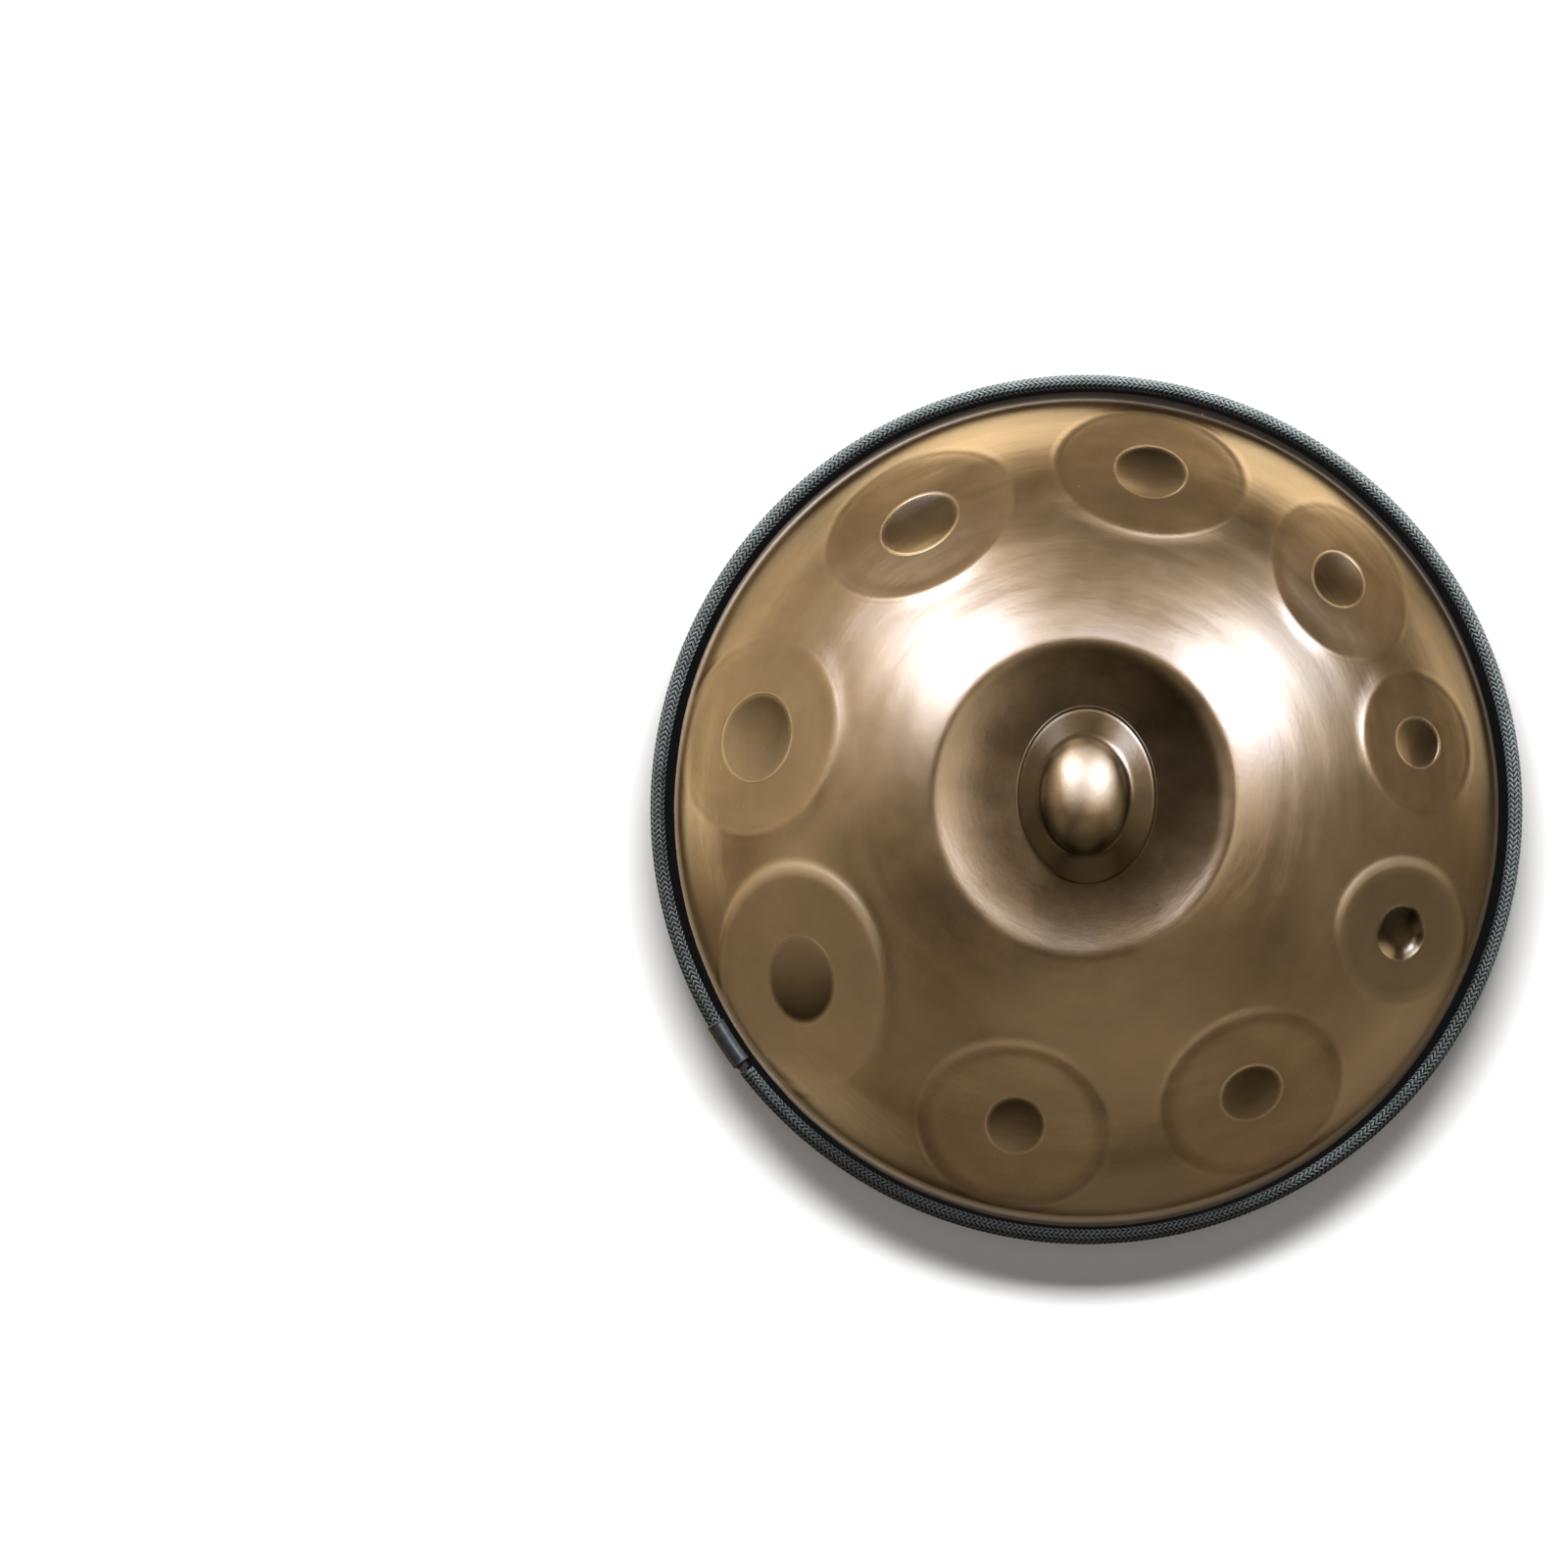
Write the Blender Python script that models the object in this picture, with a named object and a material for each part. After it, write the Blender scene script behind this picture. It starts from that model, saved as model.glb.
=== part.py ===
"""Handpan of the 22-inch class: two domed steel shells bonded at their flanges, with a corded rim.

Metres, +Z up. The origin is the centre of the flat ring that the instrument rests on. The ding, the
large central note, faces up, and angles run counter-clockwise from +X as seen from above.
"""

import math

import bmesh
import bpy
from mathutils import Vector
from mathutils.geometry import delaunay_2d_cdt

# Driving dimensions.
SHEET = 0.0012  # wall of both shells
FIT = 0.0003  # clearance between mating pieces
BOND = 0.0004  # thickness of the glue line between the flanges
RIM_HEIGHT = 0.115  # mid-plane of the flanges above the rest plane
FLANGE_RADIUS = 0.2735
ROOT_RADIUS = 0.2630  # where a dome meets its flange
CAP_SPAN = 0.2850  # radius at which the dome's elliptic arc would stand upright
STRAIGHT_FROM = 0.2400  # radius from which the arc runs straight down to the flange
ROOT_FILLET = 0.0008
TOP_CAP = 0.195  # height scale of the upper dome's elliptic arc
SEGMENTS = 64  # flats round every ring
WALL_RINGS = (FLANGE_RADIUS, 0.2655, 0.2632, 0.2614, 0.2580, 0.2530)  # corners down the steep wall

# Central note: a shallow dish behind a rounded shoulder, a raised brim and a dome.
# Each ellipse is centre x, centre y, half width along X, half width along Y.
SHOULDER = (-0.0035, -0.0025, 0.0930, 0.1035)
BRIM = (0.0003, 0.0005, 0.0438, 0.0563)
DOME = (-0.0012, -0.0010, 0.0295, 0.0385)
DISH_DEPTH = 0.0040
DISH_CURVE = 3.0
SHOULDER_ROUND = 0.0008
BRIM_STEP = 0.0010
BRIM_EDGE = 0.02
BRIM_RISE = 0.0088
DOME_RISE = 0.0112  # a shallow crown, and on top of it the rise of the steep wall round it
DOME_WALL = 0.0030
DOME_WALL_CURVE = 8
DOME_FILLET = 0.0006

# Tone fields: angle in degrees, radius, length round the rim, width across it, twist in degrees,
# then length, width and depth of the dimple at the middle.
TONE_FIELDS = (
    (10.3, 0.2150, 0.087, 0.064, 0, 0.033, 0.028, 0.0020),
    (41.6, 0.2155, 0.104, 0.074, 15, 0.039, 0.032, 0.0022),
    (79.0, 0.2165, 0.116, 0.079, 0, 0.047, 0.036, 0.0028),
    (120.7, 0.2080, 0.123, 0.083, 0, 0.054, 0.036, 0.0026),
    (168.6, 0.2140, 0.120, 0.094, 0, 0.058, 0.045, 0.0026),
    (211.9, 0.2140, 0.134, 0.098, 20, 0.057, 0.043, 0.0028),
    (257.6, 0.2110, 0.116, 0.094, 0, 0.038, 0.035, 0.0020),
    (299.6, 0.2130, 0.116, 0.088, 0, 0.042, 0.032, 0.0020),
    (337.6, 0.2170, 0.085, 0.075, 0, 0.036, 0.030, 0.0080),
)
FIELD_PRESS = 0.50  # share of the dome's own curve that is pressed flat inside a field
FIELD_EDGE = 0.11  # half width of a field's border at its inner side, as a share of its size
FIELD_SOFT = 0.28  # and at its outer side
FIELD_RIDGE = 0.0010
FIELD_FADE = (0.2530, 0.2615)  # the fields run out into the steep wall between these radii
DIMPLE_CURVE = 2.2
DIMPLE_FILLET = 0.03
FILL_STEP = 0.017  # spacing of the corners on the plain dome between features

# Lower shell.
PORT_RADIUS = 0.050
NECK_HEIGHT = 0.024
NECK_ROUND = 0.006
REST_RADIUS = 0.064

# Rim cord: a braided sleeve on a slit rubber core, pressed over a rubber edging.
EDGING_WALL = 0.0009
LIP_RADIUS = 0.2665  # mean inner edge of the edging
LIP_SWING = 0.0020  # the lip is wider than its mean at the left and right, narrower at +Y and -Y
CORD_RADIUS = 0.0053
BRAID_WALL = 0.0009
SLEEVE_WALL = 0.0005
CORD_START = 217.8
CORE_END = 577.5
BRAID_END = 576.1
SLEEVE_START = 570.2
SLEEVE_END = 576.6
BEAD = 0.0008
BEAD_HALF = 0.0018

FLANGE_TOP = BOND / 2 + FIT + SHEET
EDGING_HALF = FLANGE_TOP + FIT + EDGING_WALL
EDGING_RADIUS = FLANGE_RADIUS + FIT + EDGING_WALL
CORD_CENTRE = EDGING_RADIUS
CORE_RADIUS = CORD_RADIUS - BRAID_WALL - FIT
SLOT_HALF = EDGING_HALF + FIT
SLOT_RADIUS = EDGING_RADIUS + FIT + BEAD + FIT


def material(name, colour, roughness, metallic):
    made = bpy.data.materials.new(name)
    made.use_nodes = True
    shader = made.node_tree.nodes["Principled BSDF"]
    shader.inputs["Base Color"].default_value = (*colour, 1)
    shader.inputs["Roughness"].default_value = roughness
    shader.inputs["Metallic"].default_value = metallic
    made.diffuse_color = (*colour, 1)
    return made


def add_object(name, bm, look, sharp_degrees=40):
    bmesh.ops.recalc_face_normals(bm, faces=bm.faces)
    mesh = bpy.data.meshes.new(name)
    bm.to_mesh(mesh)
    bm.free()
    mesh.materials.append(look)
    mesh.shade_smooth()
    mesh.set_sharp_from_angle(angle=math.radians(sharp_degrees))
    obj = bpy.data.objects.new(name, mesh)
    bpy.context.scene.collection.objects.link(obj)
    return obj


def thicken(obj):
    """Give a sheet its wall, on the side away from its normals."""
    wall = obj.modifiers.new("wall", "SOLIDIFY")
    wall.thickness = SHEET
    wall.offset = -1
    wall.use_even_offset = True
    wall.use_quality_normals = True


# --- The dome's arc, shared by both shells ---


def cap_height(radius, scale):
    """Height of the dome over the flange, running out into the flange with a fillet."""
    return smooth_max(scale * (arc_height(radius) - arc_height(ROOT_RADIUS)), 0, ROOT_FILLET)


def arc_height(radius):
    """An elliptic arc that turns into its own tangent near the rim."""
    share = STRAIGHT_FROM / CAP_SPAN
    slope = share / CAP_SPAN / math.sqrt(1 - share**2)
    curved = math.sqrt(1 - (min(radius, STRAIGHT_FROM) / CAP_SPAN) ** 2)
    return curved - slope * max(0, radius - STRAIGHT_FROM)


def smooth_max(a, b, blend):
    high, low = max(a, b), min(a, b)
    return high + blend * math.log1p(math.exp((low - high) / blend))


def smooth_step(low, high, value):
    t = min(1, max(0, (value - low) / (high - low)))
    return t * t * (3 - 2 * t)


# --- Upper shell ---


def ellipse_share(x, y, ellipse):
    """0 at the ellipse's centre and 1 on it."""
    cx, cy, half_x, half_y = ellipse
    return math.hypot((x - cx) / half_x, (y - cy) / half_y)


def field_axes(field):
    """Centre, unit vector along the field and unit vector across it."""
    angle = math.radians(field[0])
    along = angle + math.pi / 2 - math.radians(field[4])
    centre = Vector((math.cos(angle), math.sin(angle))) * field[1]
    length = Vector((math.cos(along), math.sin(along)))
    return centre, length, Vector((length.y, -length.x))


def field_share(x, y, field, long, wide):
    centre, length, width = field_axes(field)
    offset = Vector((x, y)) - centre
    return math.hypot(offset.dot(length) / (long / 2), offset.dot(width) / (wide / 2))


def inner_side(x, y, field):
    """1 on the side of a field that faces the ding, 0 on the side that faces the rim."""
    centre = field_axes(field)[0]
    offset = Vector((x, y)) - centre
    share = offset.dot(centre) / (max(offset.length, 0.001) * centre.length)
    return max(0, 0.5 - 0.5 * share)


def field_plane(x, y, field):
    """The flat that touches the dome at the inner and outer ends of the field."""
    angle, radius, _, wide = field[:4]
    angle = math.radians(angle)
    inner, outer = radius - wide / 2, radius + wide / 2
    low, high = cap_height(outer, TOP_CAP), cap_height(inner, TOP_CAP)
    out = x * math.cos(angle) + y * math.sin(angle)
    return high + (low - high) * (out - inner) / (outer - inner)


def ding_height(x, y, dome_height):
    """Dish, brim and dome, cut into the shell inside the shoulder."""
    floor = cap_height((SHOULDER[2] + SHOULDER[3]) / 2, TOP_CAP) - DISH_DEPTH
    brim_share = BRIM[2] / SHOULDER[2]
    wall = max(0, (ellipse_share(x, y, SHOULDER) - brim_share) / (1 - brim_share))
    dish = floor + DISH_DEPTH * min(wall, 2) ** DISH_CURVE
    height = -smooth_max(-dome_height, -dish, SHOULDER_ROUND)
    brim = ellipse_share(x, y, BRIM)
    step = 1 - smooth_step(1 - BRIM_EDGE, 1 + BRIM_EDGE, brim)
    slope_in = min(1, max(0, (1 - brim) / (1 - DOME[2] / BRIM[2])))
    height += step * BRIM_STEP + BRIM_RISE * slope_in
    dome = min(1.6, ellipse_share(x, y, DOME))
    crown = DOME_RISE * (1 - dome**2) + DOME_WALL * (1 - dome**DOME_WALL_CURVE)
    return height + smooth_max(crown, 0, DOME_FILLET)


def shell_height(x, y):
    """Outer surface of the upper shell over the top of its flange."""
    radius = math.hypot(x, y)
    dome = cap_height(radius, TOP_CAP)
    inside = 1 - smooth_step(*FIELD_FADE, radius)
    height = dome
    for field in TONE_FIELDS:
        share = field_share(x, y, field, field[2], field[3])
        if share > 2:
            continue
        inward = inner_side(x, y, field)
        edge = FIELD_EDGE + (FIELD_SOFT - FIELD_EDGE) * (1 - inward)
        press = 1 - smooth_step(1 - edge, 1 + edge, share)
        height += inside * FIELD_PRESS * press * (field_plane(x, y, field) - dome)
        ridge = math.exp(-(((share - 1 - edge / 2) / edge) ** 2)) * (0.2 + 0.8 * inward**1.5)
        height += inside * FIELD_RIDGE * ridge
        dimple = field_share(x, y, field, field[5], field[6])
        height -= field[7] * smooth_max(1 - min(2, dimple) ** DIMPLE_CURVE, 0, DIMPLE_FILLET)
    return ding_height(x, y, height)


def ellipse_points(centre, along, across, half_long, half_wide, share, count):
    if share == 0:
        return [centre.copy()]
    turns = (2 * math.pi * i / count for i in range(count))
    return [
        centre + along * half_long * share * math.cos(t) + across * half_wide * share * math.sin(t)
        for t in turns
    ]


def plan_points():
    """Where the sheet's corners lie in plan: on the rim, round each feature, then between them."""
    points = []

    def add(candidates, spacing):
        for point in candidates:
            if all((point - other).length > spacing for other in points):
                points.append(point)

    x_axis, y_axis = Vector((1, 0)), Vector((0, 1))
    for radius in WALL_RINGS:
        add(ellipse_points(Vector((0, 0)), x_axis, y_axis, radius, radius, 1, SEGMENTS), 0)
    ding_rings = (
        (DOME, ((0, 1), (0.3, 8), (0.6, 14), (0.84, 20), (1, 24))),
        (BRIM, ((0.97, 32), (1.03, 32))),
        (SHOULDER, ((0.62, 30), (0.78, 32), (0.9, 36), (0.97, 40), (1.03, 40), (1.12, 36))),
    )
    for (cx, cy, half_x, half_y), rings in ding_rings:
        for share, count in rings:
            ring = ellipse_points(Vector((cx, cy)), x_axis, y_axis, half_x, half_y, share, count)
            add(ring, 0.0015)
    for field in TONE_FIELDS:
        centre, along, across = field_axes(field)
        for share, count in ((0, 1), (0.45, 6), (0.8, 12), (1.05, 14)):
            ring = ellipse_points(centre, along, across, field[5] / 2, field[6] / 2, share, count)
            add(ring, 0.003)
    for share, count in ((0.9, 20), (1.12, 22)):
        for field in TONE_FIELDS:
            centre, along, across = field_axes(field)
            ring = ellipse_points(centre, along, across, field[2] / 2, field[3] / 2, share, count)
            add([point for point in ring if point.length < WALL_RINGS[-1] - 0.003], 0.006)
    for radius in (0.246, 0.122, 0.138, 0.155, 0.172, 0.190, 0.207, 0.224, 0.236):
        count = round(2 * math.pi * radius / FILL_STEP)
        add(ellipse_points(Vector((0, 0)), x_axis, y_axis, radius, radius, 1, count), 0.010)
    return points


def ding_shell(look):
    points = plan_points()
    corners, _, faces, *_ = delaunay_2d_cdt(points, [], [], 0, 1e-7)
    bm = bmesh.new()
    base = RIM_HEIGHT + FLANGE_TOP
    verts = [bm.verts.new((p.x, p.y, base + shell_height(p.x, p.y))) for p in corners]
    for face in faces:
        bm.faces.new([verts[i] for i in face])
    shell = add_object("ding_shell", bm, look, 60)
    if shell.data.polygons[0].normal.z < 0:
        shell.data.flip_normals()
    thicken(shell)


# --- Lower shell ---


def gu_shell(look):
    """Turned profile from the flange down the dome, over the rest ring and up inside the port."""
    depth = RIM_HEIGHT - FLANGE_TOP
    scale = depth / cap_height(REST_RADIUS, 1)
    radii = (*WALL_RINGS, 0.240, 0.220, 0.190, 0.155, 0.120, 0.090)
    profile = [(r, depth - cap_height(r, scale)) for r in radii]
    profile.append((REST_RADIUS, 0))
    for step in range(4):
        turn = math.radians(30 * step)
        radius = PORT_RADIUS + NECK_ROUND * (1 - math.sin(turn))
        profile.append((radius, NECK_ROUND * (1 - math.cos(turn))))
    profile.append((PORT_RADIUS, NECK_HEIGHT))
    bm = bmesh.new()
    verts = [bm.verts.new((r, 0, z)) for r, z in profile]
    for a, b in zip(verts, verts[1:]):
        bm.edges.new((a, b))
    bmesh.ops.spin(
        bm,
        geom=bm.verts[:] + bm.edges[:],
        axis=(0, 0, 1),
        cent=(0, 0, 0),
        angle=2 * math.pi,
        steps=SEGMENTS,
        use_merge=True,
    )
    shell = add_object("gu_shell", bm, look, 60)
    lowest = min(shell.data.polygons, key=lambda face: face.center.z)
    if lowest.normal.z > 0:
        shell.data.flip_normals()
    thicken(shell)


# --- Rim pieces: each is a section of (radius, height) points carried round the rim ---


def facet_share(degrees):
    """How far the rim's flat facets lie inside a true circle, at this angle."""
    step = 360 / SEGMENTS
    off_middle = math.radians(degrees % step - step / 2)
    return math.cos(math.radians(step / 2)) / math.cos(off_middle)


def rim_piece(name, section_at, start, end, look):
    """section_at(degrees) gives the section. A full turn closes on itself, and a part one has ends."""
    step = 360 / SEGMENTS
    whole = end - start >= 360
    inner = [step * i for i in range(math.floor(start / step) + 1, math.ceil(end / step))]
    angles = [start, *inner] if whole else [start, *inner, end]
    bm = bmesh.new()
    loops = []
    for degrees in angles:
        turn, share = math.radians(degrees), facet_share(degrees)
        loops.append(
            [
                bm.verts.new((r * share * math.cos(turn), r * share * math.sin(turn), RIM_HEIGHT + z))
                for r, z in section_at(degrees)
            ]
        )
    pairs = list(zip(loops, loops[1:]))
    if whole:
        pairs.append((loops[-1], loops[0]))
    for near, far in pairs:
        for i, vert in enumerate(near):
            bm.faces.new((vert, near[i - 1], far[i - 1], far[i]))
    if not whole:
        bm.faces.new(loops[0])
        bm.faces.new(loops[-1])
    return add_object(name, bm, look)


def box_section(inner, outer, half):
    return [(inner, -half), (outer, -half), (outer, half), (inner, half)]


def edging_section(degrees):
    """A U that opens inwards, over both flanges."""
    lip = LIP_RADIUS - LIP_SWING * math.cos(math.radians(2 * degrees))
    bed, bed_half = FLANGE_RADIUS + FIT, FLANGE_TOP + FIT
    upper = [(lip, bed_half), (lip, EDGING_HALF), (EDGING_RADIUS, EDGING_HALF)]
    lower = [(r, -z) for r, z in reversed(upper)]
    return [*upper, *lower, (bed, -bed_half), (bed, bed_half)]


def cord_arc(radius):
    """Points round the cord's centre from the slot's upper edge to its lower edge."""
    tip = 180 - math.degrees(math.asin(SLOT_HALF / radius))
    turns = [tip, *range(108, -109, -36), -tip]
    return [
        (CORD_CENTRE + radius * math.cos(math.radians(t)), radius * math.sin(math.radians(t)))
        for t in turns
    ]


def tube_section(outer, inner):
    return cord_arc(outer) + cord_arc(inner)[::-1]


def core_section():
    return [*cord_arc(CORE_RADIUS), (SLOT_RADIUS, -SLOT_HALF), (SLOT_RADIUS, SLOT_HALF)]


def rim_pieces():
    glue = material("cured_glue", (0.16, 0.15, 0.13), 0.45, 0)
    rubber = material("black_rubber", (0.012, 0.012, 0.013), 0.55, 0)
    foam = material("cord_core_rubber", (0.03, 0.03, 0.03), 0.8, 0)
    braid = material("charcoal_braid", (0.045, 0.052, 0.055), 0.6, 0)
    shrink = material("shrink_tube", (0.015, 0.016, 0.018), 0.35, 0)

    bond = box_section(ROOT_RADIUS + 0.0015, FLANGE_RADIUS - 0.0008, BOND / 2)
    rim_piece("flange_adhesive", lambda _: bond, 0, 360, glue)
    rim_piece("edge_channel", edging_section, 0, 360, rubber)
    bead_inner = EDGING_RADIUS + FIT
    bead = box_section(bead_inner, bead_inner + BEAD, BEAD_HALF)
    rim_piece("cord_adhesive", lambda _: bead, CORD_START + 0.4, CORE_END - 0.4, glue)
    core = core_section()
    rim_piece("cord_core", lambda _: core, CORD_START, CORE_END, foam)
    sheath = tube_section(CORD_RADIUS, CORD_RADIUS - BRAID_WALL)
    rim_piece("cord_braid", lambda _: sheath, CORD_START, BRAID_END, braid)
    sleeve = tube_section(CORD_RADIUS + FIT + SLEEVE_WALL, CORD_RADIUS + FIT)
    rim_piece("end_sleeve", lambda _: sleeve, SLEEVE_START, SLEEVE_END, shrink)


def main():
    for obj in list(bpy.data.objects):
        bpy.data.objects.remove(obj)
    steel = material("nitrided_steel", (0.30, 0.20, 0.115), 0.35, 1)
    ding_shell(steel)
    gu_shell(steel)
    rim_pieces()


main()
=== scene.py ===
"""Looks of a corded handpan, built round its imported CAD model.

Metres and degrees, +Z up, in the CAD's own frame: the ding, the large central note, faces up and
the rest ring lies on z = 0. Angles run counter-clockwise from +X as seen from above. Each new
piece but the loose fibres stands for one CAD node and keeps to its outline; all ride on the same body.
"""

import math
from collections import namedtuple

import bpy
import numpy as np
from mathutils import Matrix, Vector


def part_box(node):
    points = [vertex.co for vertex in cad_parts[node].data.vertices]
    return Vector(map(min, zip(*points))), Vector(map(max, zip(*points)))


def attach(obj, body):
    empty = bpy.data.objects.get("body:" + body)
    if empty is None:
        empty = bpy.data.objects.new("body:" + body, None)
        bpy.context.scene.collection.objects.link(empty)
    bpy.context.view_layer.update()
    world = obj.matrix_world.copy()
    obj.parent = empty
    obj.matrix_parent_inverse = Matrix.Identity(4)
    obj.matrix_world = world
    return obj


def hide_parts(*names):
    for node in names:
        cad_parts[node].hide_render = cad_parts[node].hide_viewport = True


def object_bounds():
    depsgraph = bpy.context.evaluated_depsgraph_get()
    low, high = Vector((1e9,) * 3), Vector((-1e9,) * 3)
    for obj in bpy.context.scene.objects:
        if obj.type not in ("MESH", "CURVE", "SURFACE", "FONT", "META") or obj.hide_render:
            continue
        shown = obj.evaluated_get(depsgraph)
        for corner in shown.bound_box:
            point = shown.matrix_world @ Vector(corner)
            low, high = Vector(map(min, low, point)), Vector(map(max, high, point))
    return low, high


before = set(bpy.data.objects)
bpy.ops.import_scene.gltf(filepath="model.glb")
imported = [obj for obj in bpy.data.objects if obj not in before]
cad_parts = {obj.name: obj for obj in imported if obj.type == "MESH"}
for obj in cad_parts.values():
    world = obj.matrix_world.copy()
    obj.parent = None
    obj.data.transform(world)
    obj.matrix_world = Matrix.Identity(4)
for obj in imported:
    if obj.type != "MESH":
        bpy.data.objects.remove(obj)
CAD_LOW, CAD_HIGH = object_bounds()
BODY = "root"

# --- Dimensions, from the CAD's boxes where a box gives them ---

EDGE_LOW, EDGE_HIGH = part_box("edge_channel")
RIM_HEIGHT = (EDGE_LOW.z + EDGE_HIGH.z) / 2
FLANGE_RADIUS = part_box("ding_shell")[1].x
EDGING_RADIUS = EDGE_HIGH.x
EDGING_HALF = (EDGE_HIGH.z - EDGE_LOW.z) / 2
CORD_CENTRE = EDGING_RADIUS
CORD_RADIUS = CAD_HIGH.x - CORD_CENTRE

SHEET = 0.0012  # wall of both shells
FIT = 0.0003  # clearance between mating pieces
EDGING_WALL = 0.0009
BRAID_WALL = 0.0009
SLEEVE_WALL = 0.0005
BEAD = 0.0008  # glue between the edging and the cord
FLANGE_TOP = EDGING_HALF - EDGING_WALL - FIT  # outer face of a flange, from the rim's mid-plane

# The dome's elliptic arc, shared by both shells.
CAP_SPAN = 0.2850
STRAIGHT_FROM = 0.2400
ROOT_RADIUS = 0.2630
ROOT_FILLET = 0.0008
TOP_CAP = 0.195

# Central note.
Ellipse = namedtuple("Ellipse", "x y half_x half_y")
SHOULDER = Ellipse(-0.0035, -0.0025, 0.0930, 0.1035)
BRIM = Ellipse(0.0003, 0.0005, 0.0438, 0.0563)
DOME = Ellipse(-0.0012, -0.0010, 0.0295, 0.0385)
DISH_DEPTH = 0.0040
DISH_CURVE = 3.0
SHOULDER_ROUND = 0.0008
BRIM_STEP = 0.0010
BRIM_EDGE = 0.02
BRIM_RISE = 0.0088
BRIM_BEAD = 0.00025  # height of the bead along the brim's edge
DOME_RISE = 0.0112
DOME_WALL = 0.0030
DOME_WALL_CURVE = 8
DOME_FILLET = 0.0006

# Tone fields. A field's length is round the rim, its width across it, and its twist turns it.
ToneField = namedtuple(
    "ToneField", "angle radius length width twist dimple_length dimple_width dimple_depth"
)
TONE_FIELDS = tuple(ToneField(*row) for row in (
    (10.3, 0.2150, 0.087, 0.064, 0, 0.033, 0.028, 0.0020),
    (41.6, 0.2155, 0.104, 0.074, 15, 0.039, 0.032, 0.0022),
    (79.0, 0.2165, 0.116, 0.079, 0, 0.047, 0.036, 0.0028),
    (120.7, 0.2080, 0.123, 0.083, 0, 0.054, 0.036, 0.0026),
    (168.6, 0.2140, 0.120, 0.094, 0, 0.058, 0.045, 0.0026),
    (211.9, 0.2140, 0.134, 0.098, 20, 0.057, 0.043, 0.0028),
    (257.6, 0.2110, 0.116, 0.094, 0, 0.038, 0.035, 0.0020),
    (299.6, 0.2130, 0.116, 0.088, 0, 0.042, 0.032, 0.0020),
    (337.6, 0.2170, 0.085, 0.075, 0, 0.036, 0.030, 0.0080),
))
FIELD_PRESS = 0.50  # share of the dome's own curve that is pressed flat inside a field
FIELD_EDGE = 0.11  # half width of the step at its inner side, as a share of the field
FIELD_SOFT = 0.28  # and at its outer side
FIELD_RIDGE = 0.0010
FIELD_FADE = (0.2530, 0.2615)  # the fields run out into the steep wall between these radii
DIMPLE_CURVE = 2.2
DIMPLE_FILLET = 0.03

DIMPLE_LINE = 0.0012  # half widths of the fine beads round a dimple and a field
FIELD_LINE = 0.0040
FIELD_LINE_AT = 1.06  # where a field's bead runs, as a share of the field's size
LINE_HEIGHT = 0.00020

# Painted shade and highlight of each field: direction of its dimple's darkest side, painted shade of
# the dimple (with some heat tint) and its swing across, painted shade of the flat, then direction and
# strength of the pale painted highlight band beside it.
FieldShades = namedtuple("FieldShades", "dark_side overall swing flat pale_side pale")
FIELD_SHADES = tuple(FieldShades(*row) for row in (
    (20, 0.45, 0.42, -0.10, 185, 0.45),
    (230, 0.42, 0.32, -0.10, 215, 0.20),
    (85, 0.45, 0.45, -0.15, 262, 0.45),
    (90, 0.50, 0.32, 0.00, 290, 0.35),
    (50, 0.34, 0.42, 0.00, 350, 0.40),
    (272, 0.58, 0.34, 0.04, 75, 1.50),
    (110, 0.56, 0.28, -0.30, 105, 0.60),
    (80, 0.58, 0.14, -0.30, 125, 0.55),
    (100, 0.62, 0.50, 0.28, 112, 1.90),
))
PALE_BAND_AT = 1.07  # middle and half width of that painted highlight band, as shares of the field's size
PALE_BAND_WIDTH = 0.07

# Painted shade and highlight of the central note. A place's tint is the share of brightness it has lost
# to painted shade; on its painted bright side, which lies in the direction given, the second value is
# left out of it.
BRIGHT_SIDE_FALL = 1.5
DISH_INNER_SHADE = (0.75, 0.48, 190)
BRIM_SHADE = (0.76, 0.72, 28)
DISH_OUTER_SHADE = 0.40  # painted shade by the shoulder, with its swing and the direction of its darker side
DISH_OUTER_SWING = 0.34
DISH_OUTER_DARK_SIDE = 33
CROWN_GAIN = 1.9  # painted highlight on the dome's far half, and how much less its near half has
CROWN_NEAR_LOSS = 1.65
CROWN_NEAR_ZONE = (-0.030, 0.002)  # from the dome's centre, along Y
CROWN_RIM_LOSS = 0.40
CROWN_SIDE_LOSS = 0.80
CROWN_SHIFT = 0.0035  # the painted highlight stripe's place beside the dome's centre, along X

# Painted shade on the steel beside the edging, under the lip.
EDGE_SHADE_START = 0.2618
EDGE_SHADE_SWING = 0.0016  # it is widest at EDGE_SHADE_WIDE_SIDE
EDGE_SHADE_WIDE_SIDE = 20
EDGE_SHADE_RAMP = 0.0042
EDGE_SHADE_STRENGTH = 0.88
EDGE_SHADE_STRENGTH_SWING = 0.05
EDGE_SHADE_DARK_SIDE = 80

# Lower shell.
PORT_RADIUS = 0.050
NECK_HEIGHT = 0.024
NECK_ROUND = 0.006
REST_RADIUS = 0.064

# Rim: the edging's lip, which is widest at the left and right, and the cord's joint, where the
# braid's far end is held by a sleeve and meets the near end.
LIP_RADIUS = 0.2665
LIP_SWING = 0.0020
LIP_WAVES = (5, 9, 14, 23, 37)  # unevenness of the lip: waves round the rim, and their height
LIP_WAVE_HEIGHT = 0.00006
CORD_START = 217.8
CORE_END = 577.5
BRAID_END = 576.1
SLEEVE_START = 570.2
SLEEVE_END = 576.6
CORE_RADIUS = CORD_RADIUS - BRAID_WALL - FIT
SLOT_HALF = EDGING_HALF + FIT
SLOT_RADIUS = EDGING_RADIUS + FIT + BEAD + FIT
CUT_LENGTH = 1.6  # of the core's rough part beside a cut, in degrees
CUT_DEPTH = 0.00022

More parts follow.
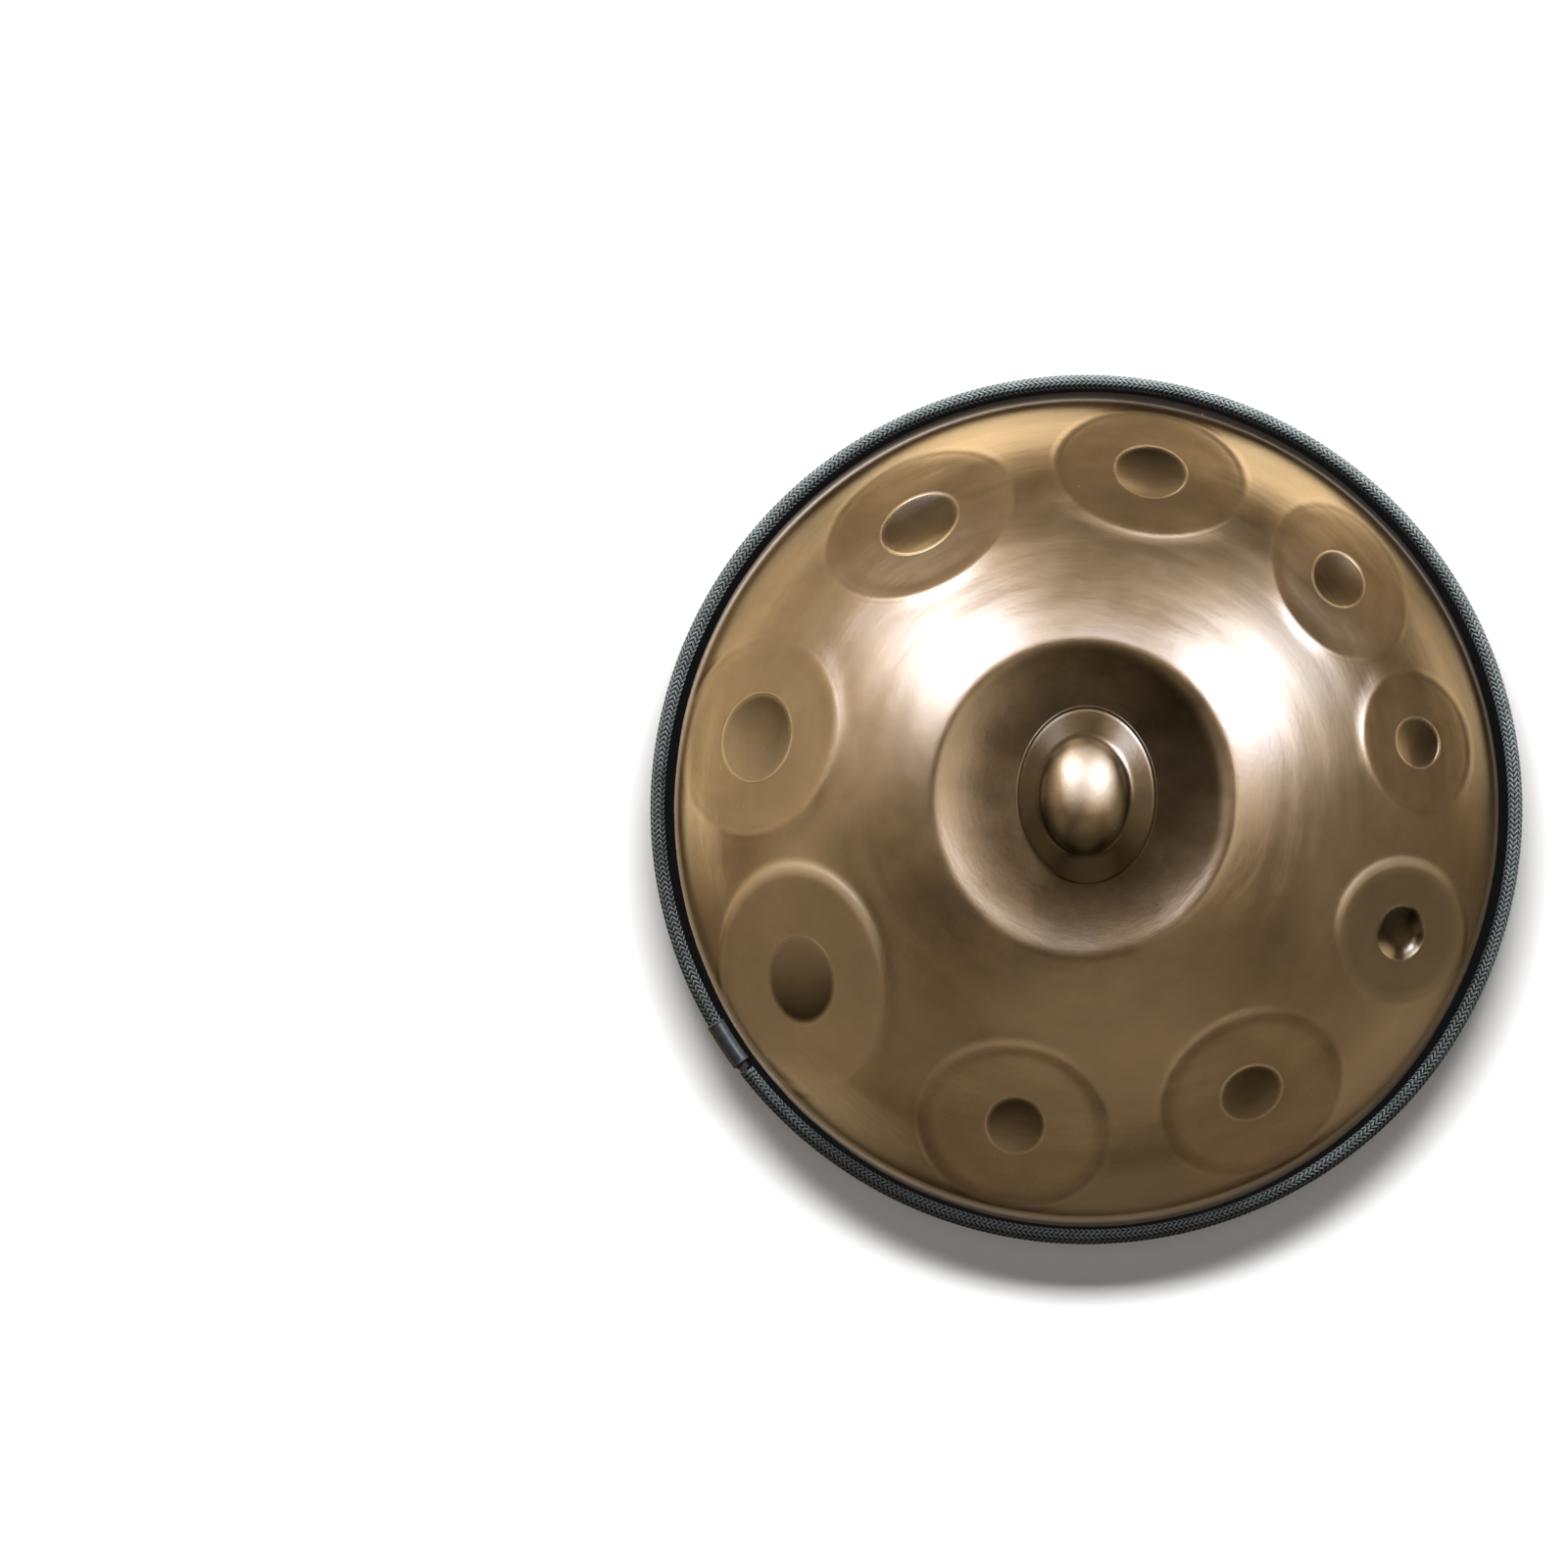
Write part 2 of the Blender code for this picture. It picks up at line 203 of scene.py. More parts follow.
# Hand work: faint waves left in the steel by hammering and polishing.
WAVE_COUNT = 46
WAVE_SLOPE = 0.015
WAVE_LENGTHS = (0.009, 0.050)
WAVE_TURNS = 8
WAVE_START = (0.095, 0.125)  # the waves grow and die out between these radii
WAVE_END = (0.250, 0.262)

# Braid: strands of a two-over, two-under herringbone.
STRAND_PITCH = 0.00335
WEAVE_COLUMNS = 12
STEPS_PER_COLUMN = 4
STEPS_PER_PITCH = 4
STRAND_RELIEF = 0.00055
WEAVE_FADE = 0.016  # length over which the weave flattens towards a cut end

# Sleeve: rolled and rounded ends, and a faint ripple.
ROLL_HEIGHT = 0.00018
ROLL_AT = 0.0007
ROLL_WIDTH = 0.0005
END_ROUNDING = 0.00035
RIPPLE_HEIGHT = 0.00002

# Loose fibres at the cord's joint.
FIBRE_COUNT = 150
FIBRE_SIDES = 5
FIBRE_RINGS = 5
FIBRE_SHARE_AT_SLEEVE = 0.6
FIBRE_SPREAD = 115  # either side of the cord's outermost line, in degrees

# Camera: square above the ding and tipped towards the near side.
CAMERA_TILT = 4.3
CAMERA_LENS = 300
CAMERA_DISTANCE = 8.39
AIM_LEFT = 0.194
AIM_UP = 0.0157


# --- Shape of the shells ---


def smooth_max(a, b, width):
    """The larger of two values, with the change from one to the other rounded off."""
    high, low = np.maximum(a, b), np.minimum(a, b)
    return high + width * np.log1p(np.exp((low - high) / width))


def smooth_step(low, high, value):
    t = np.clip((value - low) / (high - low), 0, 1)
    return t * t * (3 - 2 * t)


def arc_height(radius):
    """An elliptic arc that turns into its own tangent near the rim."""
    share = STRAIGHT_FROM / CAP_SPAN
    slope = share / CAP_SPAN / math.sqrt(1 - share**2)
    curved = np.sqrt(1 - (np.minimum(radius, STRAIGHT_FROM) / CAP_SPAN) ** 2)
    return curved - slope * np.maximum(0, radius - STRAIGHT_FROM)


def cap_height(radius, scale):
    """Height of a shell's dome over the flange, running out into it with a fillet."""
    arc = arc_height(radius) - arc_height(ROOT_RADIUS)
    return smooth_max(scale * arc, 0 * arc, ROOT_FILLET)


def ellipse_share(x, y, ellipse):
    """0 at the ellipse's centre and 1 on it."""
    return np.hypot((x - ellipse.x) / ellipse.half_x, (y - ellipse.y) / ellipse.half_y)


def mean_radius(ellipse):
    return (ellipse.half_x + ellipse.half_y) / 2


def facing(x, y, middle, degrees):
    """Cosine of the turn between a place and a compass direction, both seen from the middle."""
    dx, dy = x - middle[0], y - middle[1]
    turn = math.radians(degrees)
    return (dx * math.cos(turn) + dy * math.sin(turn)) / np.maximum(np.hypot(dx, dy), 0.001)


def field_middle(field):
    angle = math.radians(field.angle)
    return field.radius * math.cos(angle), field.radius * math.sin(angle)


def field_turn(field):
    """Direction of a field's long axis."""
    return math.radians(field.angle) + math.pi / 2 - math.radians(field.twist)


def field_share(x, y, field, long, wide):
    """0 at the field's centre and 1 on an ellipse of the given length and width round it."""
    along = field_turn(field)
    middle = field_middle(field)
    dx, dy = x - middle[0], y - middle[1]
    lengthwise = dx * math.cos(along) + dy * math.sin(along)
    crosswise = dx * math.sin(along) - dy * math.cos(along)
    return np.hypot(lengthwise / (long / 2), crosswise / (wide / 2))


def field_plane(x, y, field):
    """The flat that touches the dome at the inner and outer ends of the field."""
    angle = math.radians(field.angle)
    inner, outer = field.radius - field.width / 2, field.radius + field.width / 2
    low, high = cap_height(np.array((outer, inner)), TOP_CAP)
    out = x * math.cos(angle) + y * math.sin(angle)
    return high + (low - high) * (out - inner) / (outer - inner)


def ding_height(x, y, dome_height):
    """Dish, brim and dome, cut into the shell inside the shoulder."""
    floor = cap_height(np.array(mean_radius(SHOULDER)), TOP_CAP) - DISH_DEPTH
    brim_share = BRIM.half_x / SHOULDER.half_x
    wall = np.maximum(0, (ellipse_share(x, y, SHOULDER) - brim_share) / (1 - brim_share))
    dish = floor + DISH_DEPTH * np.minimum(wall, 2) ** DISH_CURVE
    height = -smooth_max(-dome_height, -dish, SHOULDER_ROUND)
    brim = ellipse_share(x, y, BRIM)
    step = 1 - smooth_step(1 - BRIM_EDGE, 1 + BRIM_EDGE, brim)
    slope_in = np.clip((1 - brim) / (1 - DOME.half_x / BRIM.half_x), 0, 1)
    bead = np.exp(-(((brim - 1 + BRIM_EDGE) / BRIM_EDGE) ** 2))
    height = height + step * BRIM_STEP + BRIM_RISE * slope_in + BRIM_BEAD * bead
    dome = np.minimum(1.6, ellipse_share(x, y, DOME))
    crown = DOME_RISE * (1 - dome**2) + DOME_WALL * (1 - dome**DOME_WALL_CURVE)
    return height + smooth_max(crown, 0 * crown, DOME_FILLET)


def shell_height(x, y):
    """Outer surface of the upper shell over the top of its flange."""
    radius = np.hypot(x, y)
    dome = cap_height(radius, TOP_CAP)
    inside = 1 - smooth_step(*FIELD_FADE, radius)
    height = dome
    for field in TONE_FIELDS:
        share = field_share(x, y, field, field.length, field.width)
        inward = np.maximum(0, 0.5 + 0.5 * facing(x, y, field_middle(field), field.angle + 180))
        edge = FIELD_EDGE + (FIELD_SOFT - FIELD_EDGE) * (1 - inward)
        press = 1 - smooth_step(1 - edge, 1 + edge, share)
        ridge = np.exp(-(((share - 1 - edge / 2) / edge) ** 2)) * (0.2 + 0.8 * inward**1.5)
        pressed = FIELD_PRESS * press * (field_plane(x, y, field) - dome)
        height = height + inside * (pressed + FIELD_RIDGE * ridge)
        dimple_share = field_share(x, y, field, field.dimple_length, field.dimple_width)
        dimple = 1 - np.minimum(2, dimple_share) ** DIMPLE_CURVE
        height = height - field.dimple_depth * smooth_max(dimple, 0 * dimple, DIMPLE_FILLET)
    return ding_height(x, y, height)


def hand_work(x, y, seed):
    """Faint waves that run mostly round the shell, none at its centre or on its flange."""
    rng = np.random.default_rng(seed)
    radius, angle = np.hypot(x, y), np.arctan2(y, x)
    waves = np.zeros_like(x)
    for _ in range(WAVE_COUNT):
        length = rng.uniform(*WAVE_LENGTHS)
        turns = rng.integers(-WAVE_TURNS, WAVE_TURNS + 1)
        phase = 2 * math.pi * (radius / length + rng.uniform()) + turns * angle
        height = WAVE_SLOPE * length / (2 * math.pi) / math.sqrt(WAVE_COUNT / 2)
        waves += height * np.cos(phase)
    return waves * smooth_step(*WAVE_START, radius) * (1 - smooth_step(*WAVE_END, radius))


def edge_shade(x, y):
    """Strength of the painted shade beside the edging."""
    angle = np.arctan2(y, x)
    start = EDGE_SHADE_START - EDGE_SHADE_SWING * np.cos(angle - math.radians(EDGE_SHADE_WIDE_SIDE))
    strength = EDGE_SHADE_STRENGTH + EDGE_SHADE_STRENGTH_SWING * np.cos(angle - math.radians(EDGE_SHADE_DARK_SIDE))
    return strength * smooth_step(start, start + EDGE_SHADE_RAMP, np.hypot(x, y))


def field_shade_and_highlight(x, y, field, shades):
    """A field's own painted shade and highlight, with some heat tint in its dimple."""
    middle = field_middle(field)
    dimple = field_share(x, y, field, field.dimple_length, field.dimple_width)
    in_dimple = 1 - smooth_step(0.86, 1.02, dimple)
    across = np.minimum(dimple, 1) * facing(x, y, middle, shades.dark_side)
    share = field_share(x, y, field, field.length, field.width)
    in_flat = 1 - smooth_step(0.85, 1.05, share)
    band = np.exp(-(((share - PALE_BAND_AT) / PALE_BAND_WIDTH) ** 2))
    toward = np.clip(facing(x, y, middle, shades.pale_side), 0, 1) ** BRIGHT_SIDE_FALL
    left = np.maximum(0.08, 1 - in_dimple * (shades.overall + shades.swing * across))
    return left * (1 - in_flat * shades.flat) * (1 + shades.pale * band * toward)


def one_sided_shade(x, y, ellipse, tint, missing, bright_side):
    """Painted shade that is weaker towards one side of an ellipse, its painted bright side."""
    return tint - missing * np.clip(facing(x, y, ellipse, bright_side), 0, 1) ** BRIGHT_SIDE_FALL


def dish_painted_shade(x, y, dish):
    """Painted shade of the dish between brim and shoulder. dish is the place's share of the shoulder.
    """
    inner = one_sided_shade(x, y, SHOULDER, *DISH_INNER_SHADE)
    outer = DISH_OUTER_SHADE + DISH_OUTER_SWING * facing(x, y, SHOULDER, DISH_OUTER_DARK_SIDE)
    return inner + (outer - inner) * smooth_step(0.5, 0.9, dish)


def crown_highlight_and_shade(x, y, dome):
    """Painted highlight on the dome in a stripe from its middle to its far end, with painted shade on
    its near half, rim and sides.
    """
    near = 1 - smooth_step(*CROWN_NEAR_ZONE, y - DOME.y)
    beside = smooth_step(0.35, 0.92, np.abs(x - DOME.x - CROWN_SHIFT) / DOME.half_x)
    rim = smooth_step(0.75, 0.97, dome)
    lengthwise = CROWN_GAIN - CROWN_NEAR_LOSS * near
    return lengthwise * (1 - CROWN_RIM_LOSS * rim) * (1 - CROWN_SIDE_LOSS * beside)


def heat_tint_and_painted_light(x, y):
    """Share of the bronze's brightness left: painted shade and painted highlights over the ding, rim
    and fields, with some heat tint in the dimples.
    """
    dish, brim, dome = (ellipse_share(x, y, ellipse) for ellipse in (SHOULDER, BRIM, DOME))
    in_dish = 1 - smooth_step(0.92, 1.0, dish)
    in_brim = 1 - smooth_step(0.99, 1.01, brim)
    in_dome = 1 - smooth_step(0.97, 1.03, dome)
    left = 1 - dish_painted_shade(x, y, dish) * in_dish * (1 - in_brim)
    # Painted shade of the brim, lighter on its painted bright side.
    left = left * (1 - one_sided_shade(x, y, BRIM, *BRIM_SHADE) * in_brim * (1 - in_dome))
    left = left * (1 + in_dome * (crown_highlight_and_shade(x, y, dome) - 1))
    # Painted shade beside the edging.
    left = left * (1 - edge_shade(x, y))
    for field, shades in zip(TONE_FIELDS, FIELD_SHADES):
        left = left * field_shade_and_highlight(x, y, field, shades)
    return left


# --- Mesh building ---


def add_piece(name, points, faces, look, node, sharp=50):
    """A mesh piece that stands for a CAD node, if one is given, and rides with the body.

    Edges that bend by more than sharp degrees stay sharp.
    """
    mesh = bpy.data.meshes.new(name)
    mesh.from_pydata(np.asarray(points).tolist(), [], faces)
    mesh.validate()
    mesh.materials.append(look)
    mesh.shade_smooth()
    mesh.set_sharp_from_angle(angle=math.radians(sharp))
    piece = bpy.data.objects.new(name, mesh)
    bpy.context.scene.collection.objects.link(piece)
    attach(piece, BODY)
    if node:
        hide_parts(node)
    return piece


def stitch(a, a_count, b, b_count):
    """Faces from the ring that starts at corner a out to the one at b. One count divides the other."""
    if a_count > b_count:
        return [face[::-1] for face in stitch(b, b_count, a, a_count)]
    share = b_count // a_count
    faces = []
    for i in range(a_count):
        near, far = a + i, a + (i + 1) % a_count
        fan = [b + (i * share + j) % b_count for j in range(share + 1)]
        if share == 1:
            faces.append((near, fan[0], fan[1], far))
            continue
        middle = share // 2
        faces.extend((near, fan[j], fan[j + 1]) for j in range(middle))
        faces.append((near, fan[middle], far))
        faces.extend((far, fan[j], fan[j + 1]) for j in range(middle, share))
    return faces


def swept(sections, closed):
    """Points and faces of one section carried along. sections is rows x corners x 3."""
    rows, corners = sections.shape[:2]
    faces = []
    last = rows if closed else rows - 1
    for row in range(last):
        here, there = row * corners, (row + 1) % rows * corners
        for i in range(corners):
            j = (i + 1) % corners
            faces.append((here + i, here + j, there + j, there + i))
    if not closed:
        faces.append(tuple(range(corners))[::-1])
        faces.append(tuple((rows - 1) * corners + i for i in range(corners)))
    return sections.reshape(-1, 3), faces


def round_the_rim(radii, heights, degrees):
    """World points of a section given by its radii and heights over the rim's mid-plane."""
    turn = np.radians(degrees)
    return np.stack(
        np.broadcast_arrays(radii * np.cos(turn), radii * np.sin(turn), RIM_HEIGHT + heights), -1
    )


# --- Shells ---

ROUND_FROM = 0.128  # the mesh rings are circles from this radius out
FINE_FROM = 0.1500  # and are finer from this one, which clears the shoulder
SLOPE_REACH = 0.0003  # step over which the sheet's slope is measured


def ring_outline(level, count):
    """A ring in plan that takes the ding's ellipses near the centre and is a circle further out."""
    guides = (
        (0, DOME.x, DOME.y, 0, 0),
        (mean_radius(DOME), *DOME),
        (mean_radius(BRIM), *BRIM),
        (mean_radius(SHOULDER), *SHOULDER),
        (ROUND_FROM, 0, 0, ROUND_FROM, ROUND_FROM),
        (FLANGE_RADIUS, 0, 0, FLANGE_RADIUS, FLANGE_RADIUS),
    )
    levels = [guide[0] for guide in guides]
    cx, cy, half_x, half_y = (
        np.interp(level, levels, [guide[k] for guide in guides]) for k in range(1, 5)
    )
    turn = np.arange(count) * 2 * math.pi / count
    return cx + half_x * np.cos(turn), cy + half_y * np.sin(turn)


def ring_plan(bands):
    """(level, corner count) of each ring. A band is its outer level, ring spacing and corner count."""
    plan, start = [], 0.0
    for outer, spacing, count in bands:
        rings = max(1, round((outer - start) / spacing))
        plan += [(start + (outer - start) * (i + 1) / rings, count) for i in range(rings)]
        start = outer
    return plan


def sheet_surface(bands, base, height_at, offset):
    """Points and faces of one side of the sheet, from its centre point out to the flange's edge."""
    plan = ring_plan(bands)
    x, y = (
        np.concatenate(parts)
        for parts in zip(([DOME.x], [DOME.y]), *(ring_outline(level, n) for level, n in plan))
    )
    z = base + height_at(x, y)
    if offset:
        rise_x = height_at(x + SLOPE_REACH, y) - height_at(x - SLOPE_REACH, y)
        rise_y = height_at(x, y + SLOPE_REACH) - height_at(x, y - SLOPE_REACH)
        slope_x, slope_y = rise_x / (2 * SLOPE_REACH), rise_y / (2 * SLOPE_REACH)
        z = z - offset * np.sqrt(1 + slope_x**2 + slope_y**2)
    first_count = plan[0][1]
    faces = [(0, 1 + i, 1 + (i + 1) % first_count) for i in range(first_count)]
    start, count = 1, first_count
    for _, next_count in plan[1:]:
        faces += stitch(start, count, start + count, next_count)
        start, count = start + count, next_count
    return np.stack((x, y, z), -1), faces, (start, count)


def upper_shell_bands():
    """Ring bands of the sheet's outer side, and coarser ones for its hidden inner side."""
    dome_level, brim_level, shoulder_level = map(mean_radius, (DOME, BRIM, SHOULDER))
    outer_bands = (
        (dome_level, 0.0013, 96),
        (brim_level - 0.003, 0.0013, 192),
        (brim_level + 0.002, 0.0004, 192),
        (shoulder_level - 0.007, 0.0016, 192),
        (shoulder_level + 0.005, 0.0007, 384),
        (FINE_FROM, 0.0017, 384),
        (ROOT_RADIUS - 0.0020, 0.00175, 768),
        (ROOT_RADIUS + 0.0015, 0.0005, 768),
        (FLANGE_RADIUS, 0.0020, 768),
    )
    inner_bands = (
        (brim_level, 0.0040, 48),
        (shoulder_level, 0.0040, 96),
        (FINE_FROM, 0.0050, 96),
        (ROOT_RADIUS - 0.0030, 0.0050, 192),
        (ROOT_RADIUS + 0.0015, 0.0012, 192),
        (FLANGE_RADIUS, 0.0040, 192),
    )
    return outer_bands, inner_bands


def upper_shell(look):
    outer_bands, inner_bands = upper_shell_bands()
    base = RIM_HEIGHT + FLANGE_TOP

    def worked(x, y):
        return shell_height(x, y) + hand_work(x, y, seed=11)

    top, top_faces, (top_rim, top_count) = sheet_surface(outer_bands, base, worked, 0)
    under, under_faces, (rim, rim_count) = sheet_surface(inner_bands, base, shell_height, SHEET)
    shift = len(top)
    under[rim:, 2] = base - SHEET
    faces = top_faces + [tuple(shift + i for i in face[::-1]) for face in under_faces]
    faces += stitch(top_rim, top_count, shift + rim, rim_count)
    points = np.concatenate((top, under))
    piece = add_piece("upper_shell_skin", points, faces, look, "ding_shell")
    # Painted shade and painted highlights of the upper shell, stored on its corners.
    store_tint(piece, heat_tint_and_painted_light(points[:, 0], points[:, 1]))
    return piece


def store_tint(piece, left):
    """Keeps the painted shade and highlight, with some heat tint, at each corner, for the steel's
    material.
    """
    attribute = piece.data.attributes.new("heat_tint_and_painted_light", "FLOAT", "POINT")
    attribute.data.foreach_set("value", np.asarray(left, dtype=np.float32))


def gu_profile(offset, spacing):
    """Radii and heights from the flange's edge down the dome, over the rest ring and up the port."""
    depth = RIM_HEIGHT - FLANGE_TOP
    scale = depth / float(cap_height(np.array(REST_RADIUS), 1))
    flange = np.linspace(FLANGE_RADIUS, ROOT_RADIUS + 0.002, 5)
    root = np.linspace(ROOT_RADIUS + 0.0015, ROOT_RADIUS - 0.003, 10)
    wall_top = ROOT_RADIUS - 0.004
    wall_steps = round((wall_top - STRAIGHT_FROM) / spacing * 2)
    wall = np.linspace(wall_top, STRAIGHT_FROM, wall_steps)
    belly_steps = round((STRAIGHT_FROM - REST_RADIUS) / spacing)
    belly = np.linspace(STRAIGHT_FROM - spacing, REST_RADIUS, belly_steps)
    radii = np.concatenate((flange, root, wall, belly))
    heights = depth - cap_height(radii, scale)
    turn = np.radians(np.arange(0, 91, 10))
    neck_radii = PORT_RADIUS + NECK_ROUND * (1 - np.sin(turn))
    neck_heights = NECK_ROUND * (1 - np.cos(turn))
    bore = np.linspace(NECK_ROUND, NECK_HEIGHT, 8)[1:]
    radii = np.concatenate((radii, neck_radii, np.full(len(bore), PORT_RADIUS)))
    heights = np.concatenate((heights, neck_heights, bore))
    tangent = np.stack((np.gradient(radii), np.gradient(heights)))
    tangent /= np.hypot(*tangent)
    return radii - offset * tangent[1], heights + offset * tangent[0]


def lower_shell(look):
    """One closed section, front and back of the sheet, turned round the axis."""
    count = 512
    radii, heights = gu_profile(0, spacing=0.0028)
    back_radii, back_heights = gu_profile(-SHEET, spacing=0.0080)
    back_radii[0] = FLANGE_RADIUS
    turn = np.arange(count)[:, None] * 2 * math.pi / count
    x, y = radii * np.cos(turn), radii * np.sin(turn)
    clear_of_rest = smooth_step(REST_RADIUS + 0.006, REST_RADIUS + 0.040, radii)
    front = np.stack((x, y, heights - hand_work(x, y, seed=23) * clear_of_rest), -1)
    back = np.stack(
        np.broadcast_arrays(back_radii * np.cos(turn), back_radii * np.sin(turn), back_heights), -1
    )
    sections = np.concatenate((front, back[:, ::-1]), axis=1)
    points, faces = swept(sections, closed=True)
    piece = add_piece("lower_shell_skin", points, faces, look, "gu_shell")
    # Painted shade beside the edging.
    store_tint(piece, 1 - EDGE_SHADE_STRENGTH * edge_shade(points[:, 0], points[:, 1]))
    return piece


# --- Rim ---


def edging(look):
    """Rubber edging: a U over both flanges, with rounded and slightly uneven lips."""
    count = 720
    degrees = np.arange(count)[:, None] * 360 / count
    rng = np.random.default_rng(31)
    lip = LIP_RADIUS - LIP_SWING * np.cos(np.radians(2 * degrees))
    for turns in LIP_WAVES:
        start = rng.uniform(0, 2 * math.pi)
        lip = lip + LIP_WAVE_HEIGHT * np.cos(np.radians(turns * degrees) + start)
    half_wall = EDGING_WALL / 2
    bed_half = EDGING_HALF - EDGING_WALL
    turn = np.radians(np.arange(-90, 91, 22.5))
    nose_radii = lip + half_wall * (1 - np.cos(turn))
    nose_heights = np.broadcast_to(bed_half + half_wall * (1 + np.sin(turn)), nose_radii.shape)
    corner = np.radians(np.arange(0, 91, 30))
    ones = np.ones_like(lip)
    back_radii = ones * (EDGING_RADIUS - half_wall * (1 - np.sin(corner)))
    back_heights = ones * (EDGING_HALF - half_wall * (1 - np.cos(corner)))
    radii = np.concatenate((nose_radii, back_radii), axis=1)
    heights = np.concatenate((nose_heights, back_heights), axis=1)
    bed = ones * (FLANGE_RADIUS + FIT)
    radii = np.concatenate((radii, radii[:, ::-1], bed, bed), axis=1)
    heights = np.concatenate((heights, -heights[:, ::-1], -bed_half * ones, bed_half * ones), axis=1)
    points, faces = swept(round_the_rim(radii, heights, degrees)[:, ::-1], closed=True)
    return add_piece("rim_edging_skin", points, faces, look, "edge_channel")


def braid(look):
    """Braided sheath. The mesh's rows run along the strands, so each strand is a raised ridge."""
    step = 360 / (WEAVE_COLUMNS * STEPS_PER_COLUMN)
    tip = 180 - math.degrees(math.asin(SLOT_HALF / CORD_RADIUS))
    side = math.floor(tip / step) * step
    around = np.arange(-side, side + step / 2, step)
    length = math.radians(BRAID_END - CORD_START) * CORD_CENTRE
    pitches = round(length / STRAND_PITCH)
    rows = pitches * STEPS_PER_PITCH + 1
    along = np.linspace(0, length, rows)[:, None]
    fade = smooth_step(0, WEAVE_FADE, along) * smooth_step(0, WEAVE_FADE, length - along)

    column = around / 360 * WEAVE_COLUMNS
    across = column - np.floor(column)
    lean = np.where(np.floor(column) % 2 == 0, across, 1 - across)
    ridge = np.abs(np.sin(math.pi * np.arange(rows) / STEPS_PER_PITCH))[:, None] ** 0.7
    crease = 1 - 0.6 * np.abs(2 * across - 1) ** 3
    relief = STRAND_RELIEF * (ridge * crease - 1)
    radius = CORD_RADIUS + relief * (0.35 + 0.65 * fade)
    place = along - lean * STRAND_PITCH * fade
    place = np.clip(place, 0, length)

    inner_around = np.radians(np.linspace(side, -side, 6))
    inner_radius = CORD_RADIUS - BRAID_WALL
    turn = np.radians(around)
    radii = CORD_CENTRE + radius * np.cos(turn)
    heights = radius * np.sin(turn)
    back = np.ones((rows, 1))
    inner_radii = back * (CORD_CENTRE + inner_radius * np.cos(inner_around))
    radii = np.concatenate((radii, inner_radii), axis=1)
    heights = np.concatenate((heights, back * inner_radius * np.sin(inner_around)), axis=1)
    place = np.concatenate((place, along * np.ones(len(inner_around))), axis=1)
    degrees = CORD_START + np.degrees(place / CORD_CENTRE)
    sections = round_the_rim(radii, heights, degrees)
    points, faces = swept(sections[:, ::-1], closed=False)
    piece = add_piece("cord_braid_skin", points, faces, look, "cord_braid", 80)
    store_weave(piece, rows, sections.shape[1], column, len(inner_around))
    return piece


def store_weave(piece, rows, corners, column, inner_count):
    """Keeps each corner's place in the weave, its column and strand number, for the yarn's look."""
    numbers = np.concatenate((column, np.zeros(inner_count)))[::-1]
    strands = np.arange(rows)[:, None] / STEPS_PER_PITCH * np.ones(corners)
    place = np.stack((numbers * np.ones((rows, 1)), strands, strands * 0), -1)
    attribute = piece.data.attributes.new("weave", "FLOAT_VECTOR", "POINT")
    attribute.data.foreach_set("vector", place.astype(np.float32).ravel())


def tube_sections(outer, inner, degrees, swell):
    """Sections of a tube slit along its inner side. swell is added to each row's outer radius."""
    tip = 180 - math.degrees(math.asin(SLOT_HALF / outer))
    out_turn = np.radians(np.linspace(-tip, tip, 40))
    in_turn = np.radians(np.linspace(tip, -tip, 16))
    outer = outer + swell
    out_radii = CORD_CENTRE + outer * np.cos(out_turn)
    in_radii = CORD_CENTRE + inner * np.cos(in_turn) + 0 * outer
    in_heights = inner * np.sin(in_turn) + 0 * outer
    radii = np.concatenate((out_radii, in_radii), axis=1)
    heights = np.concatenate((outer * np.sin(out_turn), in_heights), axis=1)
    return round_the_rim(radii, heights, degrees)


def sleeve(look):
    """Shrink tube over the cord's end: smooth, with rolled ends and a faint ripple."""
    rows = 90
    degrees = np.linspace(SLEEVE_START, SLEEVE_END, rows)[:, None]
    from_end = np.radians(np.minimum(degrees - SLEEVE_START, SLEEVE_END - degrees)) * CORD_CENTRE
    roll = ROLL_HEIGHT * np.exp(-(((from_end - ROLL_AT) / ROLL_WIDTH) ** 2))
    rounding = -END_ROUNDING * (1 - smooth_step(0, ROLL_WIDTH, from_end))
    ripple = RIPPLE_HEIGHT * np.sin(degrees * 4.0)
    outer = CORD_RADIUS + FIT + SLEEVE_WALL
    sections = tube_sections(outer, CORD_RADIUS + FIT, degrees, roll + rounding + ripple)
    points, faces = swept(sections[:, ::-1], closed=False)
    return add_piece("end_sleeve_skin", points, faces, look, "end_sleeve")


def core(look):
    """Rubber core, smooth inside the braid and rough where it is cut at the cord's joint."""
    fine = np.linspace(0, CUT_LENGTH, 30)
    middle = np.arange(CORD_START + CUT_LENGTH + 1, CORE_END - CUT_LENGTH, 1.0)
    degrees = np.concatenate((CORD_START + fine, middle, CORE_END - fine[::-1]))[:, None]
    rng = np.random.default_rng(5)
    tip = 180 - math.degrees(math.asin(SLOT_HALF / CORE_RADIUS))
    turn = np.radians(np.linspace(-tip, tip, 36))
    from_end = np.minimum(degrees - CORD_START, CORE_END - degrees)
    torn = CUT_DEPTH * (1 - smooth_step(0, CUT_LENGTH, from_end))
    radius = CORE_RADIUS - torn * rng.uniform(0, 1, (len(degrees), len(turn)))
    ones = np.ones_like(degrees)
    slot_radii = ones * np.array((SLOT_RADIUS, SLOT_RADIUS))
    slot_heights = ones * np.array((SLOT_HALF, -SLOT_HALF))
    radii = np.concatenate((CORD_CENTRE + radius * np.cos(turn), slot_radii), axis=1)
    heights = np.concatenate((radius * np.sin(turn), slot_heights), axis=1)
    points, faces = swept(round_the_rim(radii, heights, degrees)[:, ::-1], closed=False)
    return add_piece("cord_core_skin", points, faces, look, "cord_core")


